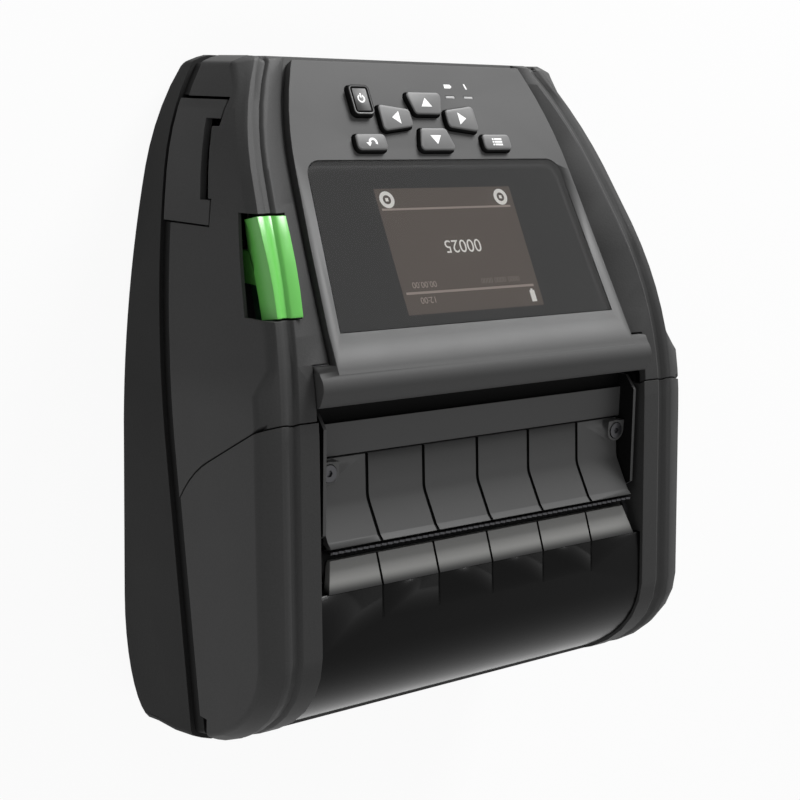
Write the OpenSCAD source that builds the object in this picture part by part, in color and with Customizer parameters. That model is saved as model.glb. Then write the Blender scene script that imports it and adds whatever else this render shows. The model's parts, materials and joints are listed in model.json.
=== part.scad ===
// Portable four-inch label printer, lying on its flat back.
// +X is the width, +Y points to the key end, +Z points out of the display side.

/* [Body] */
// Length of the body from the nose to the key end
body_l = 187.6; // [180:0.2:195]
// Half width of the body across its side walls at the nose
half_w = 77; // [75:0.5:79]
// Width of the sloping edge between the crest and the side wall
edge_w = 6; // [5:0.2:7]
// Drop of that edge
edge_r = 3.5; // [3:0.1:4.5]
// Wall of the moulded shells
wall = 2.4; // [2:0.1:2.8]
// Depth of the nose that wraps the media roll
nose_r = 34.3; // [34:0.1:35]
// Height of the nose's foremost line above the back
nose_c = 18; // [16:0.5:22]
// Tilt of the waist seam against the back
waist_tilt = 10.2; // [9.5:0.1:11]
// Height of the waist seam at mid length
waist_z = 24.2; // [23:0.1:25]
// Height of the dark band in the waist seam
band_h = 5.1; // [4:0.1:5.5]

/* [Front] */
// Lean of the front between the nose and the bend
front_lean = 3.3; // [3:0.1:3.6]
// Slope of the front beside the display
front_slope = 31.8; // [31:0.1:32.5]
// Radius of the bend between the two
bend_r = 110; // [104:1:116]
// Slope of the display panel
panel_slope = 28; // [27.5:0.1:28.5]
// Thickness of the display panel
panel_t = 2.8; // [2.4:0.1:3.2]

/* [Display and keys] */
// Width of the visible screen
lcd_w = 49.2; // [46:0.1:52]
// Height of the visible screen
lcd_h = 36.9; // [34:0.1:39]
// How far the keys stand out of the panel
key_up_h = 1.5; // [1:0.1:2]
// Travel of the keys
key_travel = 1; // [0.5:0.1:1.2]
// Clearance around each key
key_gap = 0.45; // [0.3:0.05:0.6]

/* [Paper exit] */
// Spacing of the ribs across the deflector and the lip
rib_pitch = 19.3; // [18:0.1:20]
// Radius of the platen roller
platen_r = 5; // [4.6:0.1:5.2]
// Radius of the platen shaft
shaft_r = 2; // [1.8:0.1:2.5]
// Running clearance of shafts in their bores
fit = 0.05; // [0.02:0.01:0.1]
// Module of the gears
gear_m = 0.6; // [0.55:0.01:0.6]

/* [Media] */
// Radius of the largest media roll
roll_r = 25; // [22:0.5:25]
// Widest media between the guides
media_w = 112; // [104:1:112]

/* [Hidden] */
$fn = 48;

// --- Driving lines -------------------------------------------------------
half_l = body_l / 2;
end_r = 3;                        // rounding of the key end's front edge
nose_y = nose_r - half_l;         // centre of the nose along the body
bend_y = -10;                     // centre of the front bend
bend_z = -36.6;
crest_in = edge_w + 1.7;          // ridge line, in from the side wall
plan_y1 = -12;                    // where the side walls start to curve
plan_y2 = 62;                     // where they curve more tightly
plan_r1 = 400;
plan_r2 = 70;

// Height of the bend circle's tangent line of slope a, sunk by d
function tangent_z(y, a, d) = bend_z + (bend_r - d - (y - bend_y) * sin(a)) / cos(a);

// The nose is two half ellipses, front and back, about its foremost line
nose_flat = 2;                    // half height of the flat between them
nose_top = tangent_z(nose_y, front_lean, 0);
nose_b = nose_top - nose_c - nose_flat;
// Nose point at angle phi from the foremost line, sunk by d, on the front
// (f = 1) or the back (f = -1): [y, z, angle of its normal from +Z]
function nose_pt(phi, d, f) =
    let (b = f > 0 ? nose_b : nose_c - nose_flat,
         u = cos(phi) / nose_r, v = sin(phi) / b, k = norm([u, v]))
    [nose_y - nose_r * cos(phi) + d * u / k,
     nose_c + f * (nose_flat + b * sin(phi) - d * v / k),
     f > 0 ? -atan2(u, v) : 180 + atan2(u, v)];
// Angle of the front nose point that lies at height z
function nose_phi(z) = asin((z - nose_c - nose_flat) / nose_b);

// Front outline from the nose on, sunk by d
function front_z(y, d) =
    let (r = bend_r - d, k = (y - bend_y) / r)
    k < sin(front_lean) ? tangent_z(y, front_lean, d)
    : k < sin(front_slope) ? bend_z + sqrt(r * r - pow(y - bend_y, 2))
    : tangent_z(y, front_slope, d);
// Angle of the front outline's normal from +Z towards +Y
function front_a(y, d) =
    let (k = (y - bend_y) / (bend_r - d))
    asin(max(sin(front_lean), min(sin(front_slope), k)));
// Back outline from the nose on, sunk by d, and its normal from -Z
foot_r = 4.5;
function back_z(y, d) = y > half_l - foot_r
    ? foot_r - sqrt(max(0, pow(foot_r - d, 2) - pow(y - half_l + foot_r, 2))) : d;
function back_a(y, d) = y > half_l - foot_r
    ? asin(min(1, (y - half_l + foot_r) / (foot_r - d))) : 0;

// Half width of the side walls along the body
plan_s = (plan_y2 - plan_y1) / plan_r1;
function arc_drop(r, s0, s1) = r * (sqrt(1 - s0 * s0) - sqrt(1 - s1 * s1));
function wall_x(y) =
    let (s1 = max(0, min(plan_y2, y) - plan_y1) / plan_r1,
         s2 = plan_s + max(0, y - plan_y2) / plan_r2)
    half_w - arc_drop(plan_r1, 0, s1) - arc_drop(plan_r2, plan_s, s2)
    + 1.3 * pow(max(0, y - plan_y2) / 31, 2);

// --- Lofted housing form -------------------------------------------------
// The rounded edge's radius eases from edge_r to end_r at the key end
function ease_r(y) = edge_r - (edge_r - end_r) * pow(max(0, min(1, (y - 70) / 18)), 2);
nose_steps = 9;
stations = concat(
    [for (y = [nose_y : 13 : -6]) y],
    [for (y = [-2 : 6 : 52]) y],
    [for (k = [1 : 7]) 52 + (half_l - end_r - 52) * k / 7]);
last = nose_steps + len(stations) - 1;

// One side view outline: [y, z, normal angle from +Z, edge radius]
back_r = foot_r - 2;
function nose_ring(k, r, f) = concat(nose_pt(90 * k / nose_steps, r, f), [r]);
function ring() = concat(
    [for (k = [0 : nose_steps - 1]) nose_ring(k, edge_r, 1)],
    [for (y = stations)
        let (r = ease_r(y))
        [y, front_z(y, r), front_a(y, r), r]],
    [for (a = [50, 70, 90])
        [half_l - end_r, front_z(half_l - end_r, end_r), a, end_r]],
    [[half_l - end_r, foot_r, 90, end_r]],
    [for (a = [60, 30])
        [half_l - foot_r + (foot_r - end_r) * sin(a),
         foot_r - (foot_r - end_r) * cos(a), 180 - a, end_r]],
    [for (i = [len(stations) - 2 : -1 : 0])
        let (y = stations[i], r = min(ease_r(y), back_r))
        [y, back_z(y, r), 180 - back_a(y, r), r]],
    [for (k = [nose_steps - 1 : -1 : 0]) nose_ring(k, back_r, -1)]);

// Section of the edge: a small round on the side wall, then a slope to the
// crest. Each column is [inset, share of the edge's drop, groove depth].
edge_round = 1.8;
edge_turn = 70;
edge_top = [edge_round * (1 - cos(edge_turn)),
    edge_round * sin(edge_turn) / edge_r];
function edge_cols(n) = concat(
    [for (k = [0 : n]) let (f = edge_turn * k / n)
        [edge_round * (1 - cos(f)), edge_round * sin(f) / edge_r, 0]],
    [[(edge_top[0] + edge_w) / 2, (edge_top[1] + 1) / 2 + 0.04, 0], [edge_w, 1, 0]]);
// Crest and groove beside the edge: [inset from the crest, depth]
groove = [[0.5, 0.1], [1, 0.05], [2.4, 0.12], [3, 0.8], [4.6, 0.9], [5.2, 0.25], [5.8, 0]];
function columns(fine) = concat(edge_cols(fine ? 3 : 2),
    fine ? [for (g = groove) [edge_w + g[0], 1, g[1]]] : []);

// Point of the form on ring entry p and column c, sunk by t, on side s
function form_pt(p, c, t, s) =
    let (x = wall_x(p[0]) - t - c[0],
         cut = p[1] > waist_z ? c[2] : 0,
         h = (p[3] - t) * c[1] - cut)
    [s * x, p[0] + h * sin(p[2]), p[1] + h * cos(p[2])];

module form(t, fine) {
    rg = ring();
    n = len(rg);
    cs = columns(fine);
    m = len(cs);
    w = 2 * m;
    pts = [for (p = rg, j = [0 : w - 1])
        j < m ? form_pt(p, cs[j], t, -1) : form_pt(p, cs[w - 1 - j], t, 1)];
    // The key end's front corner turns about one point on each side wall
    function id(i, j) = (j == 0 || j == w - 1) && i > last && i < last + 4
        ? last * w + j : (i % n) * w + j;
    skin = [for (i = [0 : n - 1], j = [0 : w - 2])
        let (q = [id(i, j), id(i + 1, j), id(i + 1, j + 1), id(i, j + 1)])
        [for (k = [0 : 3]) if (q[k] != q[(k + 1) % 4]) q[k]]];
    // Each side wall closes in strips between the front and the back
    sides = [for (i = [0 : last - 1], s = [0, w - 1])
        let (q = [id(i, s), id(n - 1 - i, s), id(n - 2 - i, s), id(i + 1, s)])
        s == 0 ? q : [q[3], q[2], q[1], q[0]]];
    ends = [for (s = [0, w - 1])
        let (q = [for (k = [0, 4, 5, 6]) id(last + k, s)])
        s == 0 ? [q[3], q[2], q[1], q[0]] : q];
    polyhedron(points = pts, faces = concat(skin, sides, ends), convexity = 6);
}

// --- Cutting helpers -----------------------------------------------------
// Extrudes a side view (y, z) over the width from x0 to x1
module along_x(x0, x1) {
    translate([x0, 0, 0]) rotate([90, 0, 90]) linear_extrude(x1 - x0) children();
}
// Half space above the waist seam, raised by up
module above_waist(up) {
    translate([0, 0, waist_z + up]) rotate([-waist_tilt, 0, 0])
        translate([-100, -160, 0]) cube([200, 320, 160]);
}
module below_waist(up) {
    translate([0, 0, waist_z + up]) rotate([-waist_tilt, 0, 0])
        translate([-100, -160, -160]) cube([200, 320, 160]);
}
function arc_pts(c, r, a0, a1, n) =
    [for (i = [0 : n]) let (a = a0 + (a1 - a0) * i / n) c + r * [cos(a), sin(a)]];

// Side view of the media cover: a straight parting line, then an arc
part_c = [-46.2, 67];
part_r = 40;
module cover_side(gap) {
    polygon(concat([[11.7 + gap, 90], [-10.9 + gap, 48.2]],
        arc_pts(part_c, part_r + gap, -28, -56, 5), [[-140, 20], [-140, 90]]));
}

// Notch where the parting line crosses the edge
module part_notch() {
    for (s = [0, 1]) mirror([s, 0, 0]) along_x(half_w - 3, half_w + 5)
        polygon([[-1.6, 66.3], [4.2, 76], [7.4, 76]]);
}

// --- Panel frame ---------------------------------------------------------
panel_y = 15.1;                   // foot of the panel, and its height
panel_z = 72.1;
lip_y = 5.8;                      // lower edge of the lip
lip_w = 59.3;
panel_len = (half_l - panel_y) / cos(panel_slope) - 0.97;
panel_gap = 0.9;
function on_panel(y) = (y - panel_y) / cos(panel_slope);
function panel_height(y) = panel_z - (y - panel_y) * tan(panel_slope);
// Half width of the panel at v, measured up the slope
function panel_w(v) = 53.5 - 0.055 * v - v * v / 2600 - pow(max(0, v - 58), 2) / 190;
module panel_frame() {
    translate([0, panel_y, panel_z]) rotate([-panel_slope, 0, 0]) children();
}
panel_vs = concat([for (v = [-1 : 12 : 47]) v],
    [for (k = [0 : 5]) 55 + (panel_len - 2.6 - 55) * k / 5], [panel_len]);
module panel_outline(grow) {
    polygon(concat([for (v = panel_vs) [panel_w(v) + grow, v]],
        [for (i = [len(panel_vs) - 1 : -1 : 0]) [-panel_w(panel_vs[i]) - grow, panel_vs[i]]]));
}

// Cut that lowers the front between the two bumpers, section by section
valley_ys = concat([16.8], [for (y = [24 : 8 : 64]) y],
    [for (k = [0 : 4]) 70 + (half_l + 0.7 - 70) * k / 4]);
function valley_pts(y) =
    let (z = panel_height(y), t = panel_t / cos(panel_slope) + 0.1,
         a = panel_w(on_panel(y)) + panel_gap,
         b = wall_x(min(y, half_l - end_r)) - crest_in - 4.3,
         f = front_z(y, 0), g = 1.6 + (y - 16) / 77)
    [[-a, y, z - t], [a, y, z - t], [a, y, z - g],
     [b, y, f], [b + 3, y, f + 9], [-b - 3, y, f + 9], [-b, y, f], [-a, y, z - g]];
module valley() {
    k = 8;
    n = len(valley_ys);
    polyhedron(points = [for (y = valley_ys, p = valley_pts(y)) p], faces = concat(
        [[for (j = [k - 1 : -1 : 0]) j]],
        [[for (j = [0 : k - 1]) (n - 1) * k + j]],
        [for (i = [0 : n - 2], j = [0 : k - 1])
            [i * k + j, i * k + (j + 1) % k, (i + 1) * k + (j + 1) % k, (i + 1) * k + j]]),
        convexity = 4);
}

// --- Release button slot -------------------------------------------------
slot_y0 = 28;
slot_y1 = 53.8;
// Side view above a sloping lower edge, lowered by drop, shrunk by gap
module slot_side(gap, drop) {
    polygon([[slot_y1 - gap, 51.9 - drop], [slot_y1 - gap, 90],
        [slot_y0 + gap, 90], [slot_y0 + gap, 61.2 - drop]]);
}
// Plan view: its inner edge runs parallel to the ridge
module slot_plan(gap) {
    polygon([[-56.6 - gap, slot_y1 + 1], [-59.7 - gap, slot_y0 - 1],
        [-90, slot_y0 - 1], [-90, slot_y1 + 1]]);
}
module slot_cut(gap, drop) {
    intersection() {
        along_x(-90, -50) slot_side(gap, drop);
        linear_extrude(90) slot_plan(gap);
    }
}

// --- Interface flap ------------------------------------------------------
flap_y1 = half_l - 11.5;
flap_y0 = flap_y1 - 32.6;
slit_y0 = flap_y0 + 6.4;
slit_y1 = flap_y1 - 5.2;
flap_z = waist_z + 6;             // top of the flap at its foot end
// Side view: a tab at each end, with the finger slit between them
module flap_side(grow) {
    polygon([[flap_y1 + grow, -5], [flap_y1 + grow, flap_z + 0.2 + grow],
        [slit_y1 - grow, flap_z + 1.2 + grow], [slit_y1 - grow, flap_z - 2.6 + grow],
        [slit_y0 + grow, flap_z + 2.4 + grow], [slit_y0 + grow, flap_z + 5.6 + grow],
        [flap_y0 - grow, flap_z + 6.8 + grow], [flap_y0 - grow, -5]]);
}
module flap_slit() {
    polygon([[slit_y1, flap_z - 3.2], [slit_y1, flap_z + 1.6], [slit_y1 - 2, flap_z + 1.8],
        [slit_y1 - 2, flap_z - 0.4], [slit_y0, flap_z + 5], [slit_y0, flap_z + 1.8]]);
}

// --- Shells --------------------------------------------------------------
pack_w = 72;                      // battery pack in the back
pack_y0 = 14;
pack_y1 = half_l - 9.8;
pack_h = 21;
hinge_z = 44;                     // hinge line of the media cover
hinge_y = nose_pt(nose_phi(hinge_z), 0, 1)[0] + 3.7;
hinge_pin_r = 1.5;
barrel_r = 3;
skin_z = 48.2;                    // lower edge of the cover at the nose
screw_xy = [[half_w - 13.4, -52], [half_w - 13, 8], [50, half_l - 15.3]];
screw_r = 1.5;

module both(v) {
    for (s = [-1, 1]) translate([s * v[0], v[1], v[2]]) children();
}
module slab(x, y, z, size) {
    translate([x, y, z]) cube(size);
}

module back_shell() color([0.17, 0.17, 0.17]) {
    difference() {
        intersection() {
            form(0, false);
            below_waist(0);
        }
        form(wall, false);
        // battery bay
        slab(-pack_w / 2 - 0.4, pack_y0 - 0.4, -1, [pack_w + 0.8, pack_y1 - pack_y0 + 0.8, 8]);
        // latch slot beside the battery
        slab(-latch_w / 2 - 0.3, pack_y0 - 9.4, -1, [latch_w + 0.6, 9.1, 8]);
        // screw heads and shanks
        for (p = screw_xy, s = [-1, 1]) translate([s * p[0], p[1], -1]) {
            cylinder(r = 3.2, h = 2.2);
            cylinder(r = screw_r + 0.2, h = 8);
        }
        // belt clip inserts
        both([15, -12, -1]) cylinder(r = 1.5, h = 8);
    }
    // belt clip insert bosses
    both([15, -12, wall - 0.3]) difference() {
        cylinder(r = 4, h = 5);
        translate([0, 0, -1]) cylinder(r = 1.5, h = 5);
    }
    // screw bosses
    for (p = screw_xy) both([p[0], p[1], wall - 0.3]) difference() {
        cylinder(r = 4.2, h = 6);
        translate([0, 0, -1]) cylinder(r = screw_r + 0.2, h = 9);
    }
    // hinge knuckles
    for (x = [[38.6, 43.4], [52.6, 57.4]], s = [-1, 1])
        knuckle(s > 0 ? x[0] : -x[1], s > 0 ? x[1] : -x[0]);
    // guide rail on the floor
    for (y = [rail_y - 11, rail_y + 9.5]) slab(-54, y, wall - 0.3, [108, 1.5, 3.3]);
    // post of the guides' pinion
    translate([0, rail_y, wall - 0.3]) cylinder(r = 2, h = 4);
    // seat of the battery latch's spring
    slab(-3, pack_y0 - 11.4, wall - 0.3, [6, 2, 3.4]);
}

module knuckle(x0, x1) {
    along_x(x0, x1) difference() {
        union() {
            translate([hinge_y, hinge_z]) circle(r = barrel_r);
            polygon([[hinge_y - 4.2, 33], [hinge_y - 2.6, 40], [hinge_y - 2.6, hinge_z],
                [hinge_y + 2.6, hinge_z], [hinge_y + 4.6, 33]]);
        }
        translate([hinge_y, hinge_z]) circle(r = hinge_pin_r);
    }
}

module seam_band() color([0.07, 0.07, 0.07]) {
    difference() {
        intersection() {
            form(1.3, false);
            above_waist(0.05);
        }
        form(3.4, false);
        above_waist(band_h);
        slab(-60, -half_l - 6.7, 0, [120, 20, 60]);
        slab(-90, flap_y0 - 0.6, 0, [60, flap_y1 - flap_y0 + 1.2, 40]);
    }
}

module upper_housing() color([0.2, 0.2, 0.2]) {
    difference() {
        form(0, true);
        difference() {
            form(wall, false);
            panel_frame() slab(-62, -3.5, -panel_t - 1.9, [124, 96, 10]);
        }
        below_waist(band_h + 0.1);
        along_x(-90, 90) cover_side(0.5);
        part_notch();
        valley();
        // room for the lip in front of the bumpers
        slab(-lip_w - 0.4, -20, 56, [2 * lip_w + 0.8, 36.8, 40]);
        // window under the panel
        panel_frame() slab(-44, 9, -20, [88, max(72, light_v - 6), 30]);
        slot_cut(0, 4.6);
        along_x(-90, -50) flap_side(0.45);
        along_x(-90, -50) flap_slit();
    }
}

module display_panel() color([0.44, 0.44, 0.44]) {
    difference() {
        panel_frame() difference() {
            translate([0, 0, -panel_t]) linear_extrude(panel_t) panel_outline(0);
            translate([0, 0, -1.3]) linear_extrude(3) lens_outline(0.25);
            translate([0, 0, -panel_t - 1]) linear_extrude(6)
                translate([-lcd_w / 2 - 1.5, lcd_v0 - 1.5]) square([lcd_w + 3, lcd_h + 3]);
            for (k = [0 : 6]) key_cut(k);
            for (x = light_x) slab(x - 1.7, light_v - 0.45, -panel_t - 1, [3.4, 0.9, 6]);
        }
    }
    // lip that bends over the paper exit
    along_x(-lip_w, lip_w) polygon(concat(
        [[panel_y + 1.2, panel_height(panel_y + 1.2)]],
        arc_pts([8.4, 70.4], 4.2, 62, 90, 3),
        arc_pts([lip_y + 1.5, 73.1], 1.5, 90, 180, 4),
        [[lip_y, 71.6], [8.5, 69.6], [panel_y + 1.2, 69.4]]));
}

lens_v0 = 10.1;
lens_v1 = 58.3;
lcd_v0 = 13.6;
light_v = 78;
light_x = [11.2, 18];
module lens_outline(grow) {
    r = 4.5;
    polygon(concat([[-49 - grow, lens_v0 - grow], [49 + grow, lens_v0 - grow]],
        arc_pts([45.6 - r, lens_v1 - r], r + grow, 4, 90, 6),
        arc_pts([r - 45.6, lens_v1 - r], r + grow, 90, 176, 6)));
}
module display_lens() color([0.27, 0.27, 0.27]) {
    panel_frame() translate([0, 0, -1.25]) linear_extrude(1.2) lens_outline(0);
}
module lcd_module() color([0.38, 0.34, 0.31]) {
    panel_frame() slab(-lcd_w / 2 - 1, lcd_v0 - 1, -3.6, [lcd_w + 2, lcd_h + 2, 2.3]);
}
// The switches lie below the keys' feet by the travel and a little more
key_foot = 0.55;
switch_top = -panel_t - key_foot - key_travel - 0.15;
board_top = switch_top - 0.5;
board_t = 1.6;
module display_board() color([0.1, 0.35, 0.2]) {
    panel_frame() {
        slab(-42, 10, board_top - board_t, [84, 70, board_t]);
        // frame that holds the screen
        difference() {
            slab(-30, 11, board_top - 0.1, [60, 44, -3.65 - board_top + 0.1]);
            slab(-25, 14, board_top - 1, [50, 37, 5]);
        }
        // tact switches under the keys
        for (k = keys) slab(k[1] - 2, k[2] - 2, board_top - 0.1,
            [4, 4, switch_top - board_top + 0.1]);
    }
}

// Keys: name, x, v, wide end, narrow end, height, side of the wide end
keys = [["power", -22.2, 76, 7, 7, 9, 0], ["up", 0.2, 75.3, 12.4, 10, 7, 0],
    ["down", 0.3, 64.2, 12.4, 10, 7, 180], ["left", -11.8, 70.7, 8, 5.8, 11, 90],
    ["right", 11.8, 70.6, 8, 5.8, 11, 270], ["back", -22.7, 63.3, 10.5, 10.5, 5, 0],
    ["menu", 22.7, 63.3, 10.5, 10.5, 5, 0]];
// Rounded trapezoid, its wide end turned to k[6]
module key_outline(k, grow) {
    r = 1.4;
    h = k[5] / 2 - r;
    rotate(k[6]) hull() {
        for (s = [-1, 1]) {
            translate([s * (k[3] / 2 - r), h]) circle(r = r + grow, $fn = 24);
            translate([s * (k[4] / 2 - r), -h]) circle(r = r + grow, $fn = 24);
        }
    }
}
module key_cut(i) {
    k = keys[i];
    translate([k[1], k[2], -panel_t - 1]) linear_extrude(6) key_outline(k, key_gap);
}
module key(i) {
    k = keys[i];
    panel_frame() translate([k[1], k[2], 0]) {
        translate([0, 0, -panel_t + 0.4]) linear_extrude(panel_t - 0.4 + key_up_h)
            key_outline(k, 0);
        // foot over the switch
        translate([0, 0, -panel_t - key_foot]) cylinder(r = 1.6, h = 1.2);
    }
}
module key_power() color([0.56, 0.56, 0.56]) key(0);
module key_up() color([0.56, 0.56, 0.56]) key(1);
module key_down() color([0.56, 0.56, 0.56]) key(2);
module key_left() color([0.56, 0.56, 0.56]) key(3);
module key_right() color([0.56, 0.56, 0.56]) key(4);
module key_back() color([0.56, 0.56, 0.56]) key(5);
module key_menu() color([0.56, 0.56, 0.56]) key(6);

module keypad_mat() color([0.25, 0.25, 0.25]) {
    panel_frame() difference() {
        slab(-30, 59.8, switch_top - 0.46, [60, 20, 0.46]);
        for (x = light_x) slab(x - 2, light_v - 1, -6, [4, 2, 3]);
        for (k = keys) translate([k[1], k[2], -6]) cylinder(r = 2.9, h = 3);
    }
}
module status_lights() color([0.6, 0.6, 0.6]) {
    panel_frame() for (x = light_x) slab(x - 1.6, light_v - 0.35, switch_top - 0.1,
        [3.2, 0.7, 0.1 - switch_top]);
}

// --- Release button and latch -------------------------------------------
stem_y = 35.6;
module release_button() color([0.4, 0.68, 0.34]) {
    difference() {
        intersection() {
            form(0, true);
            slot_cut(0.6, 0);
        }
        form(2.8, false);
    }
    // stem that pushes the latch
    slab(-66, stem_y, 44, [3, 44 - stem_y, 14]);
    translate([-64.5, 40, 40]) cylinder(r = 1.2, h = 5);
}
spring_wire = 0.3;
// Coil spring as stacked rings, in place of a helix
module coil(r, h, turns) {
    for (i = [0 : turns - 1])
        translate([0, 0, spring_wire + i * (h - 2 * spring_wire) / (turns - 1)])
            rotate_extrude($fn = 24) translate([r, 0]) circle(r = spring_wire, $fn = 13);
}
module release_spring() color("silver") {
    translate([-64.5, 40, 33.9]) coil(2.2, 10, 7);
}
latch_y = 12;
latch_z = 47;
latch_w = 20;
module latch_arms() color([0.3, 0.3, 0.3]) {
    for (s = [-1, 1]) along_x(s > 0 ? 61.6 : -64, s > 0 ? 64 : -61.6) difference() {
        union() {
            translate([latch_y, latch_z]) circle(r = 4.5);
            // tail under the button stem
            polygon([[latch_y, latch_z - 4.5], [latch_y, latch_z + 4],
                [stem_y + 1.2, 43.2], [stem_y + 1.2, 41]]);
            // hook arm up to the cover's keeper
            polygon([[latch_y + 2, latch_z + 3], [latch_y - 3.5, latch_z - 2.5],
                [-2.6, 62.4], [-2.6, 67.4], [3, 66]]);
        }
        translate([latch_y, latch_z]) circle(r = shaft_r);
    }
}
module latch_shaft() color("silver") {
    translate([-66, latch_y, latch_z]) rotate([0, 90, 0]) cylinder(r = shaft_r, h = 132);
}

// --- Interface flap and ports -------------------------------------------
module interface_flap() color([0.19, 0.19, 0.19]) {
    difference() {
        intersection() {
            form(0.05, false);
            along_x(-90, -40) flap_side(0);
            above_waist(1.4);
        }
        form(2.3, false);
        along_x(-90, -50) flap_slit();
        // end cut square to the hinge line, so that it swings clear
        translate([-wall_x(flap_y1) - 1, flap_y1, 0]) rotate([0, 0, -15])
            slab(-1, 0, -10, [20, 10, 60]);
    }
}
port_x = 17.5 - half_w;
port_y = flap_y0 + 4.8;
module interface_ports() color([0.65, 0.65, 0.65]) {
    difference() {
        slab(port_x, port_y, 16, [12, 22, 7]);
        slab(port_x - 0.5, port_y + 3, 18, [8, 9, 3.2]);
        translate([port_x - 0.5, port_y + 17, 19.6]) rotate([0, 90, 0]) cylinder(r = 2, h = 8);
    }
}
module main_board() color([0.1, 0.35, 0.2]) {
    slab(-50, 8.3, 24.6, [100, 72.7, 1.6]);
    slab(port_x + 12, port_y, 16, [1.6, 22, 9]);
    slab(-14, 30, 26.1, [16, 16, 1.4]);
    slab(12, 34, 26.1, [10, 12, 1.2]);
    slab(28, 24, 26.1, [12, 24, 5]);
}

// --- Paper exit ----------------------------------------------------------
defl_w = 55.2;
defl_screw = [52.6, -12.7];       // screws that hold the deflector
tear_y = -33;
module exit_bridge() color([0.13, 0.13, 0.13]) {
    along_x(-56.9, 56.9) polygon([[5, 66], [-8.8, 66], [-8.8, 61.6], [-7.2, 61.6],
        [-7.2, 64.3], [5, 64.3]]);
    for (s = [-1, 1]) along_x(s > 0 ? 55.9 : -56.9, s > 0 ? 56.9 : -55.9)
        polygon([[4, 64.5], [4, 68], [0, 71.6], [-28, 72.2], [-29.4, 70], [-29.4, 61.6],
            [-7.2, 61.6]]);
    // screw posts below the deflector
    difference() {
        union() {
            both([defl_screw[0], defl_screw[1], 60]) cylinder(r = 2.8, h = 3.8);
            for (s = [-1, 1]) slab(s > 0 ? 53 : -56.4, -15, 60, [3.4, 4, 3]);
        }
        both([defl_screw[0], defl_screw[1], 59]) cylinder(r = 1.25, h = 6);
    }
    // wall behind the head springs
    along_x(-56, 56) polygon([[-21.8, 56.5], [-20.2, 56.5], [-20.2, 64.6], [-21.8, 64.6]]);
}
// Top line of the deflector: nearly level, then curving up to the tear bar
defl_line = concat([[-9.4, 65.8]],
    arc_pts([-21.4, 80.5], 13.6, -82, -130, 6), [[-31.6, 73.3]]);
defl_t = 1.6;
module deflector_profile(drop) {
    n = len(defl_line);
    polygon(concat([for (p = defl_line) p + [0, drop > 0 ? 6 : 0]],
        [for (i = [n - 1 : -1 : 0]) defl_line[i] - (drop > 0 ? [0, drop]
            : [i > 6 ? 0.5 : 0, defl_t])]));
}
module deflector_plate() color([0.3, 0.3, 0.3]) {
    difference() {
        union() {
            along_x(-defl_w, defl_w) deflector_profile(0);
            both([defl_screw[0], defl_screw[1], 65.3]) u_boss();
        }
        for (i = [-2 : 2]) along_x(i * rib_pitch - 0.5, i * rib_pitch + 0.5)
            deflector_profile(0.7);
        both([defl_screw[0], defl_screw[1], 60]) cylinder(r = 1.35, h = 12);
        both([defl_screw[0], defl_screw[1], 67.4]) cylinder(r = 2.5, h = 3);
    }
}
// Screw boss, open towards the band
module u_boss() {
    cylinder(r = 3.2, h = 3.3);
    slab(-3.2, 0, 0, [6.4, 3, 3.3]);
}
module deflector_screws() color([0.25, 0.25, 0.25]) {
    both([defl_screw[0], defl_screw[1], 60.4]) {
        cylinder(r = 1.2, h = 7);
        difference() {
            translate([0, 0, 7]) cylinder(r = 2.3, h = 1.2);
            translate([0, 0, 7.6]) cylinder(r = 1, h = 1, $fn = 6);
        }
    }
}
tear_teeth = 111;
module tear_bar() color([0.45, 0.45, 0.45]) {
    // toothed blade, and the foot behind it
    translate([0, tear_y + 0.6, 0]) rotate([90, 0, 0]) linear_extrude(0.6)
        polygon(concat([[-55.5, 66], [55.5, 66]],
            [for (i = [tear_teeth : -1 : 0])
                [i - tear_teeth / 2, 73.9 - 0.5 * (i % 2)]]));
    slab(-55.5, tear_y + 0.5, 66, [111, 1.6, 1.2]);
}
head_y = -33.52;                  // face of the print head, at the roller
module printhead() color([0.75, 0.72, 0.65]) {
    slab(-54, head_y, 55, [108, 1.2, 10.6]);
    // aluminium carrier
    slab(-53, head_y + 1.15, 54, [106, 3.6, 10]);
}
module printhead_springs() color("silver") {
    for (x = [-32, 0, 32]) translate([x, head_y + 4.8, 59.6]) rotate([-90, 0, 0])
        coil(2.2, 6.8, 6);
}

// --- Drive ---------------------------------------------------------------
platen_at = [-38.6, 64.4];
platen_teeth = 20;
idler_teeth = 40;
pinion_teeth = 12;
gear_x = 62;
gear_w = 3;
idler_dir = -40;
pinion_dir = -30;
function pitch_r(n) = n * gear_m / 2;
idler_at = platen_at + (pitch_r(platen_teeth) + pitch_r(idler_teeth))
    * [cos(idler_dir), sin(idler_dir)];
pinion_at = idler_at + (pitch_r(idler_teeth) + pitch_r(pinion_teeth))
    * [cos(pinion_dir), sin(pinion_dir)];
// Spur gear of module m; a tooth points along turn, teeth a little thin
module gear_2d(m, n, turn, bore) {
    r = n * m / 2;
    root = r - 1.2 * m;
    tip = r + 0.9 * m;
    w = 0.34 * 360 / n;
    difference() {
        rotate(turn) polygon([for (i = [0 : n - 1])
            let (a = 360 * i / n)
            for (q = [[root, -w * 0.95], [r, -w * 0.62], [tip, -w * 0.25],
                [tip, w * 0.25], [r, w * 0.62], [root, w * 0.95]])
            q[0] * [cos(a + q[1]), sin(a + q[1])]]);
        circle(r = bore);
    }
}
module gear(at, n, turn, bore) {
    along_x(gear_x, gear_x + gear_w) translate(at) gear_2d(gear_m, n, turn, bore);
}
module platen_gear() color([0.8, 0.8, 0.75])
    gear(platen_at, platen_teeth, idler_dir, shaft_r);
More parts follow.
